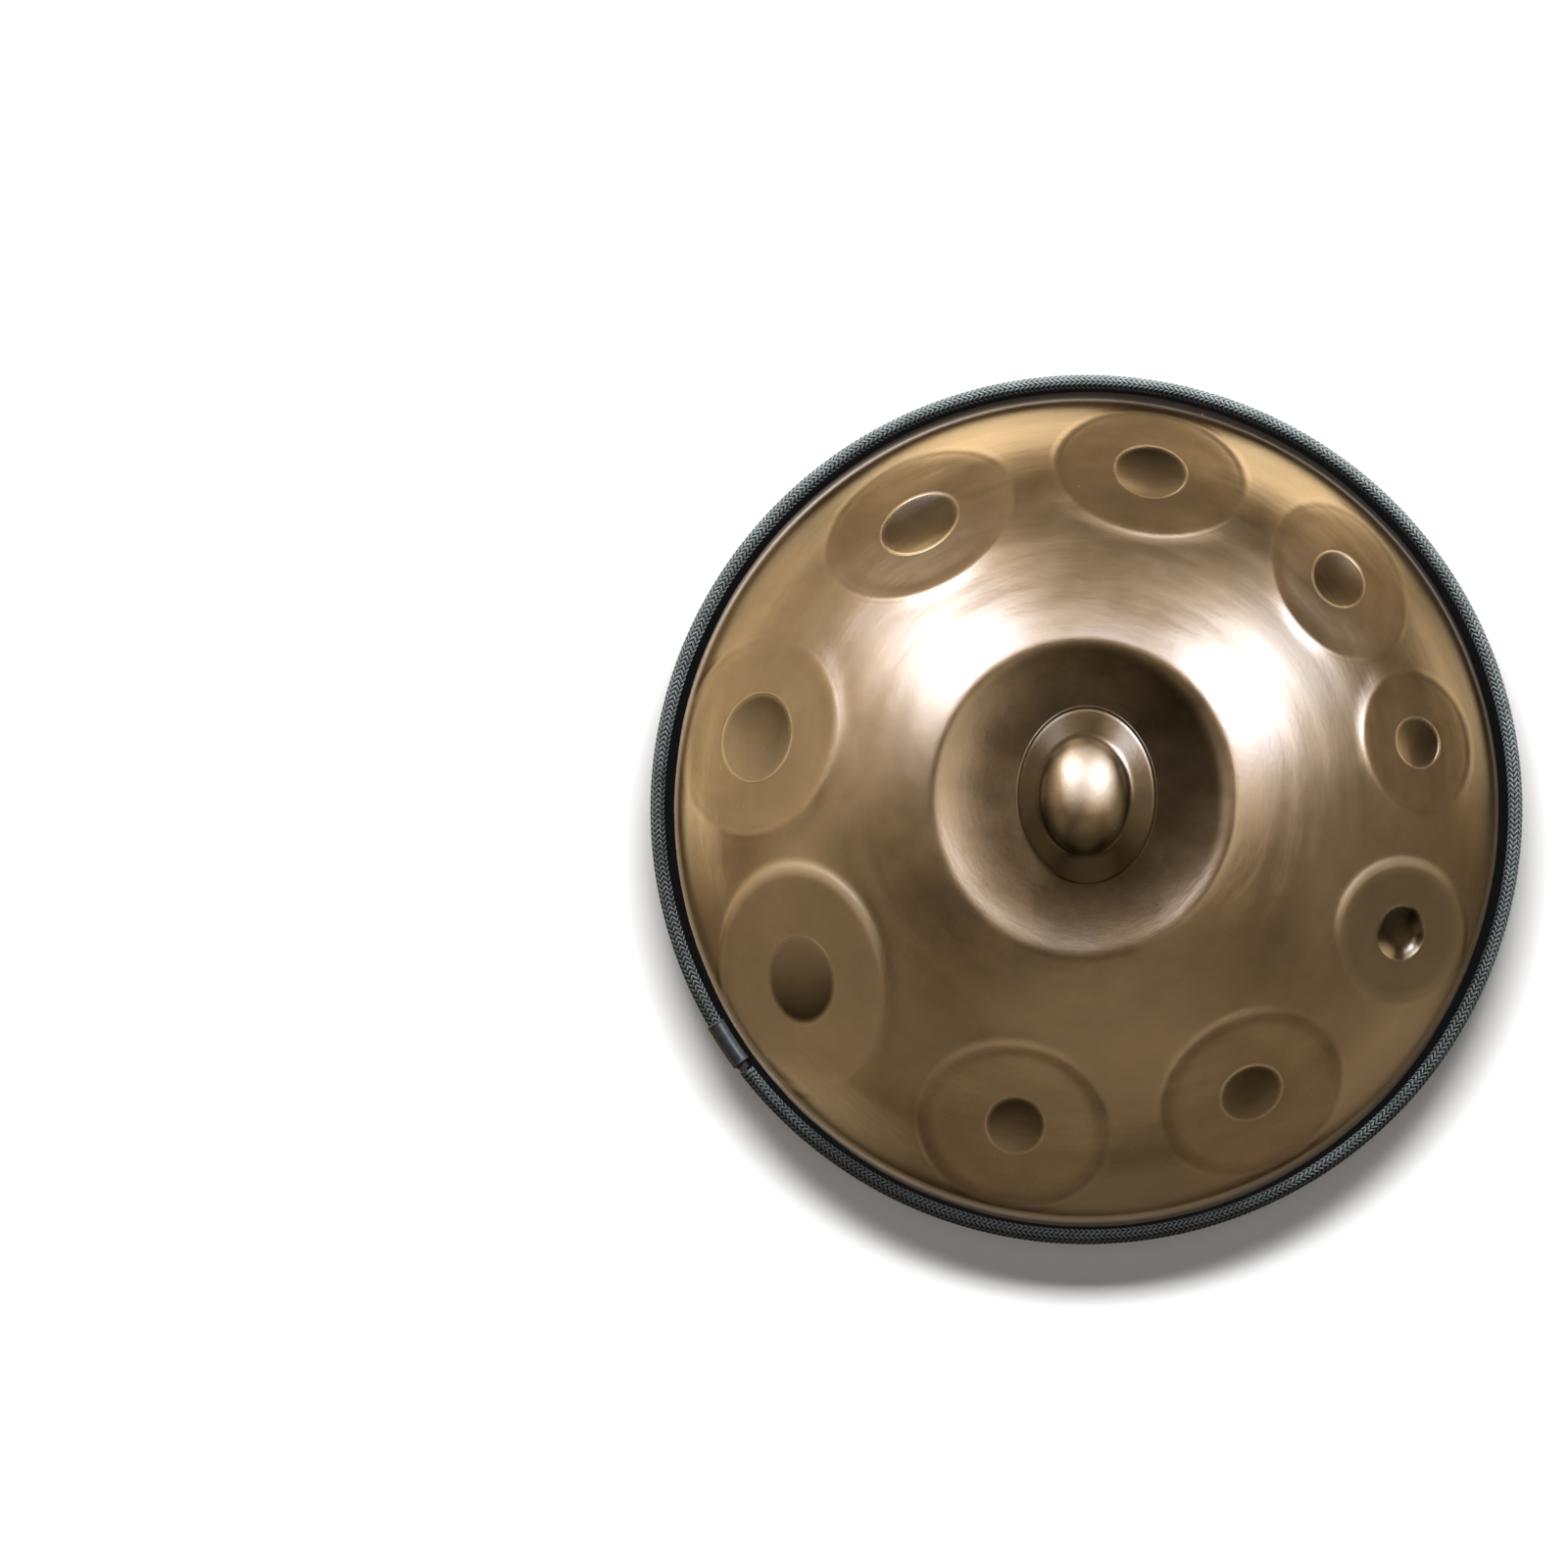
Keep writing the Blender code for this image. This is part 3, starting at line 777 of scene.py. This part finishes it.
def fibre_path(rng):
    """Middle line and thickness of one loose fibre, out of the sleeve or out of the near end."""
    at_sleeve = rng.uniform() < FIBRE_SHARE_AT_SLEEVE
    degrees = SLEEVE_END + 0.02 if at_sleeve else CORD_START
    sense = 1 if at_sleeve else -1
    turn = math.radians(rng.uniform(-FIBRE_SPREAD, FIBRE_SPREAD))
    depth = CORD_RADIUS - rng.uniform(0.0002, 0.0011)
    reach = rng.uniform(0.0006, 0.0022)
    lift = rng.uniform(-0.0008, 0.0005)
    drift = math.radians(rng.uniform(-14, 14))
    thick = rng.uniform(0.00005, 0.00010)
    path = []
    for k in range(FIBRE_RINGS):
        share = k / (FIBRE_RINGS - 1)
        radius = depth + lift * share**2
        swing = turn + drift * share
        along = degrees + sense * math.degrees(reach * share / CORD_CENTRE)
        radial = CORD_CENTRE + radius * math.cos(swing)
        path.append(Vector(round_the_rim(radial, radius * math.sin(swing), along)))
    return path, thick


def fibre_points(path, thick):
    """Rings of corners round a fibre's middle line, thinner towards its free end."""
    last = FIBRE_RINGS - 1
    points = []
    for k, centre in enumerate(path):
        ahead = (path[min(k + 1, last)] - path[max(k - 1, 0)]).normalized()
        side = ahead.orthogonal().normalized()
        size = thick * (1 - 0.6 * k / last)
        for j in range(FIBRE_SIDES):
            spin = Matrix.Rotation(2 * math.pi * j / FIBRE_SIDES, 3, ahead)
            points.append(centre + spin @ side * size)
    return points


def cut_fibres(look):
    """Loose yarn ends at the cord's joint: short bent hairs that stand out of both cut ends."""
    rng = np.random.default_rng(17)
    fibres = np.array([fibre_points(*fibre_path(rng)) for _ in range(FIBRE_COUNT)])
    points, faces = [], []
    for fibre in fibres.reshape(FIBRE_COUNT, FIBRE_RINGS, FIBRE_SIDES, 3):
        fibre_corners, fibre_faces = swept(fibre, closed=False)
        faces += [tuple(len(points) + i for i in face) for face in fibre_faces]
        points.extend(fibre_corners)
    return add_piece("cord_end_fibres", points, faces, look, None)


# --- Materials ---

BRONZE_DARK = (0.200, 0.121, 0.053, 1)
BRONZE_LIGHT = (0.315, 0.198, 0.095, 1)
BRONZE_HIGHLIGHT = (0.72, 0.62, 0.50, 1)
BRONZE_SPECK = (0.62, 0.50, 0.36, 1)
DIMPLE_RIM_HIGHLIGHT = 0.45  # painted highlight on the rims of the dimples: their gain in brightness
COAT_IOR = 2.3  # of the oxide film
DUST = (0.16, 0.15, 0.14, 1)
YARN_DARK = (0.011, 0.013, 0.013, 1)
YARN_WORN = (0.021, 0.024, 0.025, 1)
# Painted sheen on the filaments.
YARN_LIT = (0.09, 0.10, 0.10, 1)
WEAVE_GAP_SHADE = (0.002, 0.002, 0.002, 1)
GLUE_DARK = (0.12, 0.11, 0.09, 1)
GLUE_LIGHT = (0.22, 0.20, 0.17, 1)
FLOOR_DARK = (0.88, 0.88, 0.88, 1)
FLOOR_LIGHT = (0.91, 0.91, 0.91, 1)
WHITE = (1, 1, 1, 1)


def new_look(name):
    look = bpy.data.materials.new(name)
    look.use_nodes = True
    return look, look.node_tree, look.node_tree.nodes["Principled BSDF"]


def feed(tree, socket, value):
    if isinstance(value, bpy.types.NodeSocket):
        tree.links.new(value, socket)
    else:
        socket.default_value = value


def add_node(tree, kind, inputs, **settings):
    node = tree.nodes.new("ShaderNode" + kind)
    for name, value in settings.items():
        setattr(node, name, value)
    for key, value in inputs.items():
        feed(tree, node.inputs[key], value)
    return node


def calc(tree, operation, *values):
    inputs = dict(enumerate(values))
    return add_node(tree, "Math", inputs, operation=operation).outputs[0]


def vector(tree, operation, *values):
    inputs = dict(enumerate(values))
    return add_node(tree, "VectorMath", inputs, operation=operation)


def noise(tree, place, scale, detail=3.0, roughness=0.5, distortion=0.0):
    inputs = {
        "Vector": place,
        "Scale": scale,
        "Detail": detail,
        "Roughness": roughness,
        "Distortion": distortion,
    }
    return add_node(tree, "TexNoise", inputs).outputs[0]


def remap(tree, value, low, high, new_low, new_high, smooth=False):
    inputs = {0: value, 1: low, 2: high, 3: new_low, 4: new_high}
    kind = "SMOOTHSTEP" if smooth else "LINEAR"
    return add_node(tree, "MapRange", inputs, interpolation_type=kind).outputs[0]


def blend(tree, share, a, b):
    """Mix of two colours."""
    node = add_node(tree, "Mix", {}, data_type="RGBA")
    feed(tree, node.inputs[0], share)
    feed(tree, node.inputs[6], a)
    feed(tree, node.inputs[7], b)
    return node.outputs[2]


def bump(tree, height, distance, under=None):
    inputs = {"Height": height, "Distance": distance, "Strength": 1.0}
    if under is not None:
        inputs["Normal"] = under
    return add_node(tree, "Bump", inputs).outputs[0]


def product(tree, a, b):
    return calc(tree, "MULTIPLY", a, b)


def total(tree, *values):
    result = values[0]
    for value in values[1:]:
        result = calc(tree, "ADD", result, value)
    return result


def shell_place(tree):
    """Object coordinates, then the distance from the axis, the direction out and that distance as Z."""
    place = add_node(tree, "TexCoord", {}).outputs["Object"]
    flat = vector(tree, "MULTIPLY", place, (1, 1, 0)).outputs[0]
    radius = vector(tree, "LENGTH", flat).outputs[1]
    unit = vector(tree, "NORMALIZE", flat).outputs[0]
    lift = add_node(tree, "CombineXYZ", {2: radius}).outputs[0]
    return place, radius, unit, lift


def streaks(tree, unit, lift, turns, per_metre, detail=4.0):
    """Noise drawn out round the shell, as spinning and polishing leave it."""
    round_part = vector(tree, "SCALE", unit)
    feed(tree, round_part.inputs["Scale"], turns)
    out_part = vector(tree, "SCALE", lift)
    feed(tree, out_part.inputs["Scale"], per_metre)
    joined = vector(tree, "ADD", round_part.outputs[0], out_part.outputs[0]).outputs[0]
    return noise(tree, joined, 1.0, detail, 0.6)


def ellipse_lines(tree, place, field, long, wide, half_width):
    """1 on an ellipse round a tone field's centre, fading to 0 either side of it."""
    inputs = {
        "Vector": place,
        "Location": (*field_middle(field), 0),
        "Rotation": (0, 0, field_turn(field)),
        "Scale": (long / 2, wide / 2, 1),
    }
    local = add_node(tree, "Mapping", inputs, vector_type="TEXTURE").outputs[0]
    local = vector(tree, "MULTIPLY", local, (1, 1, 0)).outputs[0]
    share = vector(tree, "LENGTH", local).outputs[1]
    off = calc(tree, "ABSOLUTE", calc(tree, "SUBTRACT", share, 1.0))
    return remap(tree, off, 0.0, half_width * 2 / (long + wide) * 2, 1.0, 0.0, smooth=True)


def dimple_lines(tree, place):
    """The fine beads round the dimples."""
    lines = [
        ellipse_lines(tree, place, field, field.dimple_length, field.dimple_width, DIMPLE_LINE)
        for field in TONE_FIELDS
    ]
    return total(tree, 0.0, *lines)


def edge_lines(tree, place):
    """The low beads round the tone fields."""
    lines = []
    for field in TONE_FIELDS:
        long, wide = field.length * FIELD_LINE_AT, field.width * FIELD_LINE_AT
        lines.append(ellipse_lines(tree, place, field, long, wide, FIELD_LINE))
    return total(tree, 0.0, *lines)


def bright_specks(tree, place):
    """Strength of a few tiny bare spots: the middles of some cells of a fine cell pattern."""
    cells = add_node(tree, "TexVoronoi", {"Vector": place, "Scale": 160.0})
    pick = add_node(tree, "SeparateColor", {0: cells.outputs[1]}).outputs[0]
    chosen = calc(tree, "GREATER_THAN", pick, 0.93)
    near = calc(tree, "LESS_THAN", cells.outputs[0], 0.05)
    return product(tree, product(tree, chosen, near), 0.6)


def bronze(tree, place, broad, clouds, left):
    """Mottled bronze, darkened by painted shade and the dimples' heat tint, and blended to a pale
    painted highlight where the painted light is brightest.
    """
    tone = total(tree, product(tree, broad, 0.6), product(tree, clouds, 0.4))
    share = remap(tree, tone, 0.35, 0.65, 0.0, 1.0)
    tinted = vector(tree, "SCALE", blend(tree, share, BRONZE_DARK, BRONZE_LIGHT))
    feed(tree, tinted.inputs["Scale"], left)
    # Painted highlight: a blend to pale bronze where the painted light is brightest.
    pale = remap(tree, left, 1.15, 2.2, 0.0, 0.70)
    metal = blend(tree, pale, tinted.outputs[0], BRONZE_HIGHLIGHT)
    return blend(tree, bright_specks(tree, place), metal, BRONZE_SPECK)


def steel_look():
    """Nitrided steel: a metal with a glossy oxide film, its colour carrying painted shade and painted
    highlights.
    """
    look, tree, shader = new_look("bronzed_nitrided_steel")
    place, radius, unit, lift = shell_place(tree)
    broad = streaks(tree, unit, lift, 2.2, 26.0)
    fine = streaks(tree, unit, lift, 9.0, 300.0, 5.0)
    clouds = noise(tree, place, 24.0, 5.0, 0.6, 0.4)
    grain = noise(tree, place, 1500.0, 2.0, 0.6)
    patchy = remap(tree, noise(tree, place, 14.0, 3.0), 0.35, 0.65, 0.25, 1.3)
    dimples = dimple_lines(tree, place)
    # Painted shade and highlight kept on the mesh, with the dimples' heat tint.
    left = add_node(tree, "Attribute", {}, attribute_name="heat_tint_and_painted_light").outputs["Fac"]
    # Painted highlight on the rims of the dimples.
    left = product(tree, left, total(tree, 1.0, product(tree, product(tree, dimples, patchy), DIMPLE_RIM_HIGHLIGHT)))
    feed(tree, shader.inputs["Base Color"], bronze(tree, place, broad, clouds, left))
    shader.inputs["Metallic"].default_value = 1.0

    polished = remap(tree, left, 0.6, 1.8, 0.0, 0.14)
    residue = remap(tree, radius, 0.2615, 0.2650, 0.0, 0.35)
    rough = remap(tree, total(tree, fine, broad), 0.7, 1.3, 0.285, 0.365)
    feed(tree, shader.inputs["Roughness"], total(tree, rough, polished, residue))
    film = remap(tree, clouds, 0.3, 0.7, 0.15, 0.22)
    feed(tree, shader.inputs["Coat Roughness"], total(tree, film, polished, residue))
    feed(tree, shader.inputs["Coat Weight"], remap(tree, left, 0.15, 0.8, 0.1, 1.0))
    shader.inputs["Coat IOR"].default_value = COAT_IOR

    beads = product(tree, total(tree, dimples, edge_lines(tree, place)), patchy)
    relief = bump(tree, fine, 0.00010, bump(tree, beads, LINE_HEIGHT))
    relief = bump(tree, grain, 0.00003, relief)
    feed(tree, shader.inputs["Normal"], relief)
    feed(tree, shader.inputs["Coat Normal"], relief)
    return look


def rubber_look(name, base, rough, dustiness, shine):
    """Black rubber or plastic with a fine grain, a faint mottle and specks of dust."""
    look, tree, shader = new_look(name)
    place = add_node(tree, "TexCoord", {}).outputs["Object"]
    clouds = noise(tree, place, 60.0, 4.0, 0.6)
    grain = noise(tree, place, 2600.0, 2.0, 0.6)
    dust = remap(tree, noise(tree, place, 900.0, 2.0, 0.7), 0.66, 0.74, 0.0, dustiness)
    dark = (*(0.75 * part for part in base), 1)
    shade = blend(tree, clouds, dark, (*base, 1))
    feed(tree, shader.inputs["Base Color"], blend(tree, dust, shade, DUST))
    feed(tree, shader.inputs["Roughness"], remap(tree, clouds, 0.3, 0.7, rough - 0.06, rough + 0.08))
    shader.inputs["Specular IOR Level"].default_value = shine
    feed(tree, shader.inputs["Normal"], bump(tree, grain, 0.00003))
    return look


def braid_look():
    """Charcoal yarn: a glossy crest on each strand, painted shade in the gaps between strands and fine
    filaments with a painted sheen.
    """
    look, tree, shader = new_look("charcoal_braid_yarn")
    weave = add_node(tree, "Attribute", {}, attribute_name="weave").outputs["Vector"]
    place = add_node(tree, "TexCoord", {}).outputs["Object"]
    parts = add_node(tree, "SeparateXYZ", {0: weave})
    column, strand = parts.outputs[0], parts.outputs[1]
    wobble = product(tree, noise(tree, place, 900.0, 2.0), 0.25)
    within = product(tree, total(tree, strand, wobble), 5.0)
    filament = calc(tree, "PINGPONG", within, 0.5)
    crest = product(tree, calc(tree, "PINGPONG", strand, 0.5), 2.0)
    crossing = product(tree, calc(tree, "PINGPONG", column, 0.5), 2.0)
    open_top = product(tree, crest, remap(tree, crossing, 0.0, 0.5, 0.35, 1.0))
    worn = remap(tree, noise(tree, place, 70.0, 4.0, 0.6), 0.35, 0.7, 0.0, 1.0)
    fuzz = noise(tree, place, 3200.0, 2.0, 0.7)
    shade = blend(tree, worn, YARN_DARK, YARN_WORN)
    # Painted sheen along the filaments.
    lit = remap(tree, product(tree, filament, fuzz), 0.12, 0.34, 0.0, 0.45)
    yarn = blend(tree, lit, shade, YARN_LIT)
    # Painted shade in the gaps between strands.
    depth = remap(tree, open_top, 0.10, 0.55, 0.0, 1.0)
    feed(tree, shader.inputs["Base Color"], blend(tree, depth, WEAVE_GAP_SHADE, yarn))
    feed(tree, shader.inputs["Roughness"], remap(tree, fuzz, 0.3, 0.7, 0.32, 0.50))
    feed(tree, shader.inputs["Specular IOR Level"], remap(tree, open_top, 0.2, 0.7, 0.05, 0.45))
    relief = bump(tree, filament, 0.00012)
    feed(tree, shader.inputs["Normal"], bump(tree, fuzz, 0.00004, relief))
    return look


def glue_look():
    look, tree, shader = new_look("cured_adhesive")
    place = add_node(tree, "TexCoord", {}).outputs["Object"]
    clouds = noise(tree, place, 130.0, 4.0, 0.6)
    feed(tree, shader.inputs["Base Color"], blend(tree, clouds, GLUE_DARK, GLUE_LIGHT))
    feed(tree, shader.inputs["Roughness"], remap(tree, clouds, 0.3, 0.7, 0.35, 0.5))
    feed(tree, shader.inputs["Normal"], bump(tree, clouds, 0.0003))
    return look


def floor_look():
    look, tree, shader = new_look("pale_floor")
    place = add_node(tree, "TexCoord", {}).outputs["Object"]
    mottle = noise(tree, place, 3.0, 3.0)
    feed(tree, shader.inputs["Base Color"], blend(tree, mottle, FLOOR_DARK, FLOOR_LIGHT))
    shader.inputs["Roughness"].default_value = 0.9
    shader.inputs["Specular IOR Level"].default_value = 0.0
    shader.inputs["Emission Color"].default_value = WHITE
    shader.inputs["Emission Strength"].default_value = FLOOR_GLOW
    return look


# --- Stage: floor, studio light and camera ---

FLOOR_GLOW = 0.11
FLOOR_REACH = 14.0
FLOOR_DROP = 0.0005  # keeps the floor clear of the lower shell's faces

# Soft lights that the steel mirrors. The keys are cool lamps, the fills are warm light from the
# room. Those past 90 degrees from straight up show only in the steep wall beside the rim and in
# the lower shell. A light is full within one half width and gone beyond the other.
Light = namedtuple("Light", "azimuth from_up full_width faded_width brightness")
KEY_LIGHTS = (
    (42, 36, 8, 14, 8.0),
    (40, 54, 5, 13, 2.6),
    (126, 38, 7, 14, 7.5),
    (130, 56, 4, 14, 2.2),
    (84, 29, 2, 10, 2.8),
)
FILL_LIGHTS = (
    (42, 46, 8, 30, 0.65),
    (114, 40, 8, 28, 0.75),
    (0, 20, 4, 15, 1.4),
    (150, 62, 8, 40, 0.8),
    (90, 80, 8, 30, 0.15),
    (275, 48, 10, 36, 0.40),
    (208, 68, 8, 34, 0.38),
    (340, 70, 8, 36, 0.26),
    (106, 110, 6, 24, 3.2),
    (60, 110, 6, 24, 3.0),
    (20, 110, 6, 22, 1.6),
    (138, 110, 6, 20, 1.3),
    (170, 110, 6, 24, 2.4),
    (222, 110, 8, 28, 0.8),
    (272, 110, 8, 34, 0.3),
    (318, 110, 8, 34, 0.45),
)
KEY_COLOUR = (0.90, 1.0, 1.20)
FILL_COLOUR = (1.0, 0.82, 0.51)
SURROUND = 0.06


def direction(azimuth, from_up):
    a, z = math.radians(azimuth), math.radians(from_up)
    return (math.sin(z) * math.cos(a), math.sin(z) * math.sin(a), math.cos(z))


def soft_patch(tree, ray, light):
    """A soft-edged round patch of light in the surroundings."""
    toward = vector(tree, "DOT_PRODUCT", ray, direction(light.azimuth, light.from_up)).outputs[1]
    faded, full = math.cos(math.radians(light.faded_width)), math.cos(math.radians(light.full_width))
    return remap(tree, toward, faded, full, 0.0, light.brightness, smooth=True)


def light_sum(tree, ray, lights, start, tint):
    """All the patches of one kind, in their colour."""
    patches = [soft_patch(tree, ray, Light(*row)) for row in lights]
    tinted = vector(tree, "SCALE", tint)
    feed(tree, tinted.inputs["Scale"], total(tree, start, *patches))
    return tinted.outputs[0]


def studio():
    """The surroundings that the steel mirrors. The camera sees white, and other things no light."""
    world = bpy.data.worlds.new("studio")
    world.cycles_visibility.diffuse = False
    bpy.context.scene.world = world
    world.use_nodes = True
    tree = world.node_tree
    tree.nodes.clear()
    ray = add_node(tree, "TexCoord", {}).outputs["Generated"]
    cool = light_sum(tree, ray, KEY_LIGHTS, 0.0, KEY_COLOUR)
    warm = light_sum(tree, ray, FILL_LIGHTS, SURROUND, FILL_COLOUR)
    light = vector(tree, "ADD", cool, warm).outputs[0]
    seen = add_node(tree, "LightPath", {}).outputs["Is Camera Ray"]
    shown = add_node(tree, "Background", {"Color": blend(tree, seen, light, WHITE)})
    add_node(tree, "OutputWorld", {"Surface": shown.outputs[0]})


def lamp(name, place, width, depth, power, only=None):
    """A broad lamp aimed at the rim's centre, for all things or only one collection.

    The steel doesn't mirror it.
    """
    data = bpy.data.lights.new(name, "AREA")
    data.shape = "RECTANGLE"
    data.size = width
    data.size_y = depth
    data.energy = power
    holder = bpy.data.objects.new(name, data)
    holder.location = place
    aim = Vector((0, 0, RIM_HEIGHT)) - holder.location
    holder.rotation_mode = "QUATERNION"
    holder.rotation_quaternion = aim.to_track_quat("-Z", "Y")
    holder.visible_glossy = False
    if only:
        holder.light_linking.receiver_collection = only
    bpy.context.scene.collection.objects.link(holder)


def lamps(cord_pieces):
    """The overhead lamp draws the floor's shadow and the front one softens it. The two low lamps
    behind light only the cord, as they would draw long shadows on the floor."""
    cord = bpy.data.collections.new("cord")
    for piece in cord_pieces:
        cord.objects.link(piece)
    lamp("overhead_lamp", (0.0, 0.8, 4.4), 1.3, 0.6, 225)
    lamp("front_lamp", (0.0, -0.63, 8.3), 1.2, 1.2, 35)
    lamp("far_left_lamp", (-1.3, 4.2, 1.15), 1.0, 0.6, 3800, cord)
    lamp("far_right_lamp", (2.6, 3.5, 1.15), 1.0, 0.6, 3600, cord)


def floor():
    mesh = bpy.data.meshes.new("floor")
    signs = ((-1, -1), (1, -1), (1, 1), (-1, 1))
    mesh.from_pydata([(FLOOR_REACH * a, FLOOR_REACH * b, 0) for a, b in signs], [], [(0, 1, 2, 3)])
    mesh.materials.append(floor_look())
    slab = bpy.data.objects.new("floor", mesh)
    slab.location.z = -FLOOR_DROP
    slab.visible_glossy = False
    bpy.context.scene.collection.objects.link(slab)


def camera():
    tilt = math.radians(CAMERA_TILT)
    back = Vector((0, -math.sin(tilt), math.cos(tilt)))
    up = Vector((0, math.cos(tilt), math.sin(tilt)))
    middle = Vector((0, 0, RIM_HEIGHT))
    aim = middle - Vector((AIM_LEFT, 0, 0)) + up * AIM_UP
    data = bpy.data.cameras.new("camera")
    data.lens = CAMERA_LENS
    data.sensor_width = 36
    data.clip_end = 100
    eye = bpy.data.objects.new("camera", data)
    eye.location = middle + back * CAMERA_DISTANCE
    toward = (aim - eye.location).normalized()
    right = toward.cross(up).normalized()
    turned = Matrix((right, right.cross(toward), -toward)).transposed()
    eye.rotation_mode = "QUATERNION"
    eye.rotation_quaternion = turned.to_quaternion()
    bpy.context.scene.collection.objects.link(eye)
    bpy.context.scene.camera = eye


def render_settings():
    scene = bpy.context.scene
    scene.view_settings.view_transform = "Standard"
    scene.view_settings.look = "None"


def set_cad_look(node, look):
    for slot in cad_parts[node].material_slots:
        slot.material = look


def hide_from_steel(*pieces):
    """Keeps the rim's dark pieces from showing as a ring in the steel beside them."""
    for piece in pieces:
        piece.visible_glossy = False


def main():
    steel = steel_look()
    upper_shell(steel)
    lower_shell(steel)
    lip = edging(rubber_look("edging_rubber", (0.0025, 0.0025, 0.0025), 0.60, 0.05, 0.05))
    yarn = braid_look()
    cord_pieces = [braid(yarn), cut_fibres(yarn)]
    cord_pieces.append(sleeve(rubber_look("shrink_tube", (0.008, 0.009, 0.010), 0.24, 0.0, 0.40)))
    core(rubber_look("core_rubber", (0.030, 0.029, 0.027), 0.80, 0.5, 0.3))
    glue = glue_look()
    set_cad_look("flange_adhesive", glue)
    set_cad_look("cord_adhesive", glue)
    floor()
    studio()
    lamps(cord_pieces)
    hide_from_steel(lip, *cord_pieces)
    camera()
    render_settings()


main()
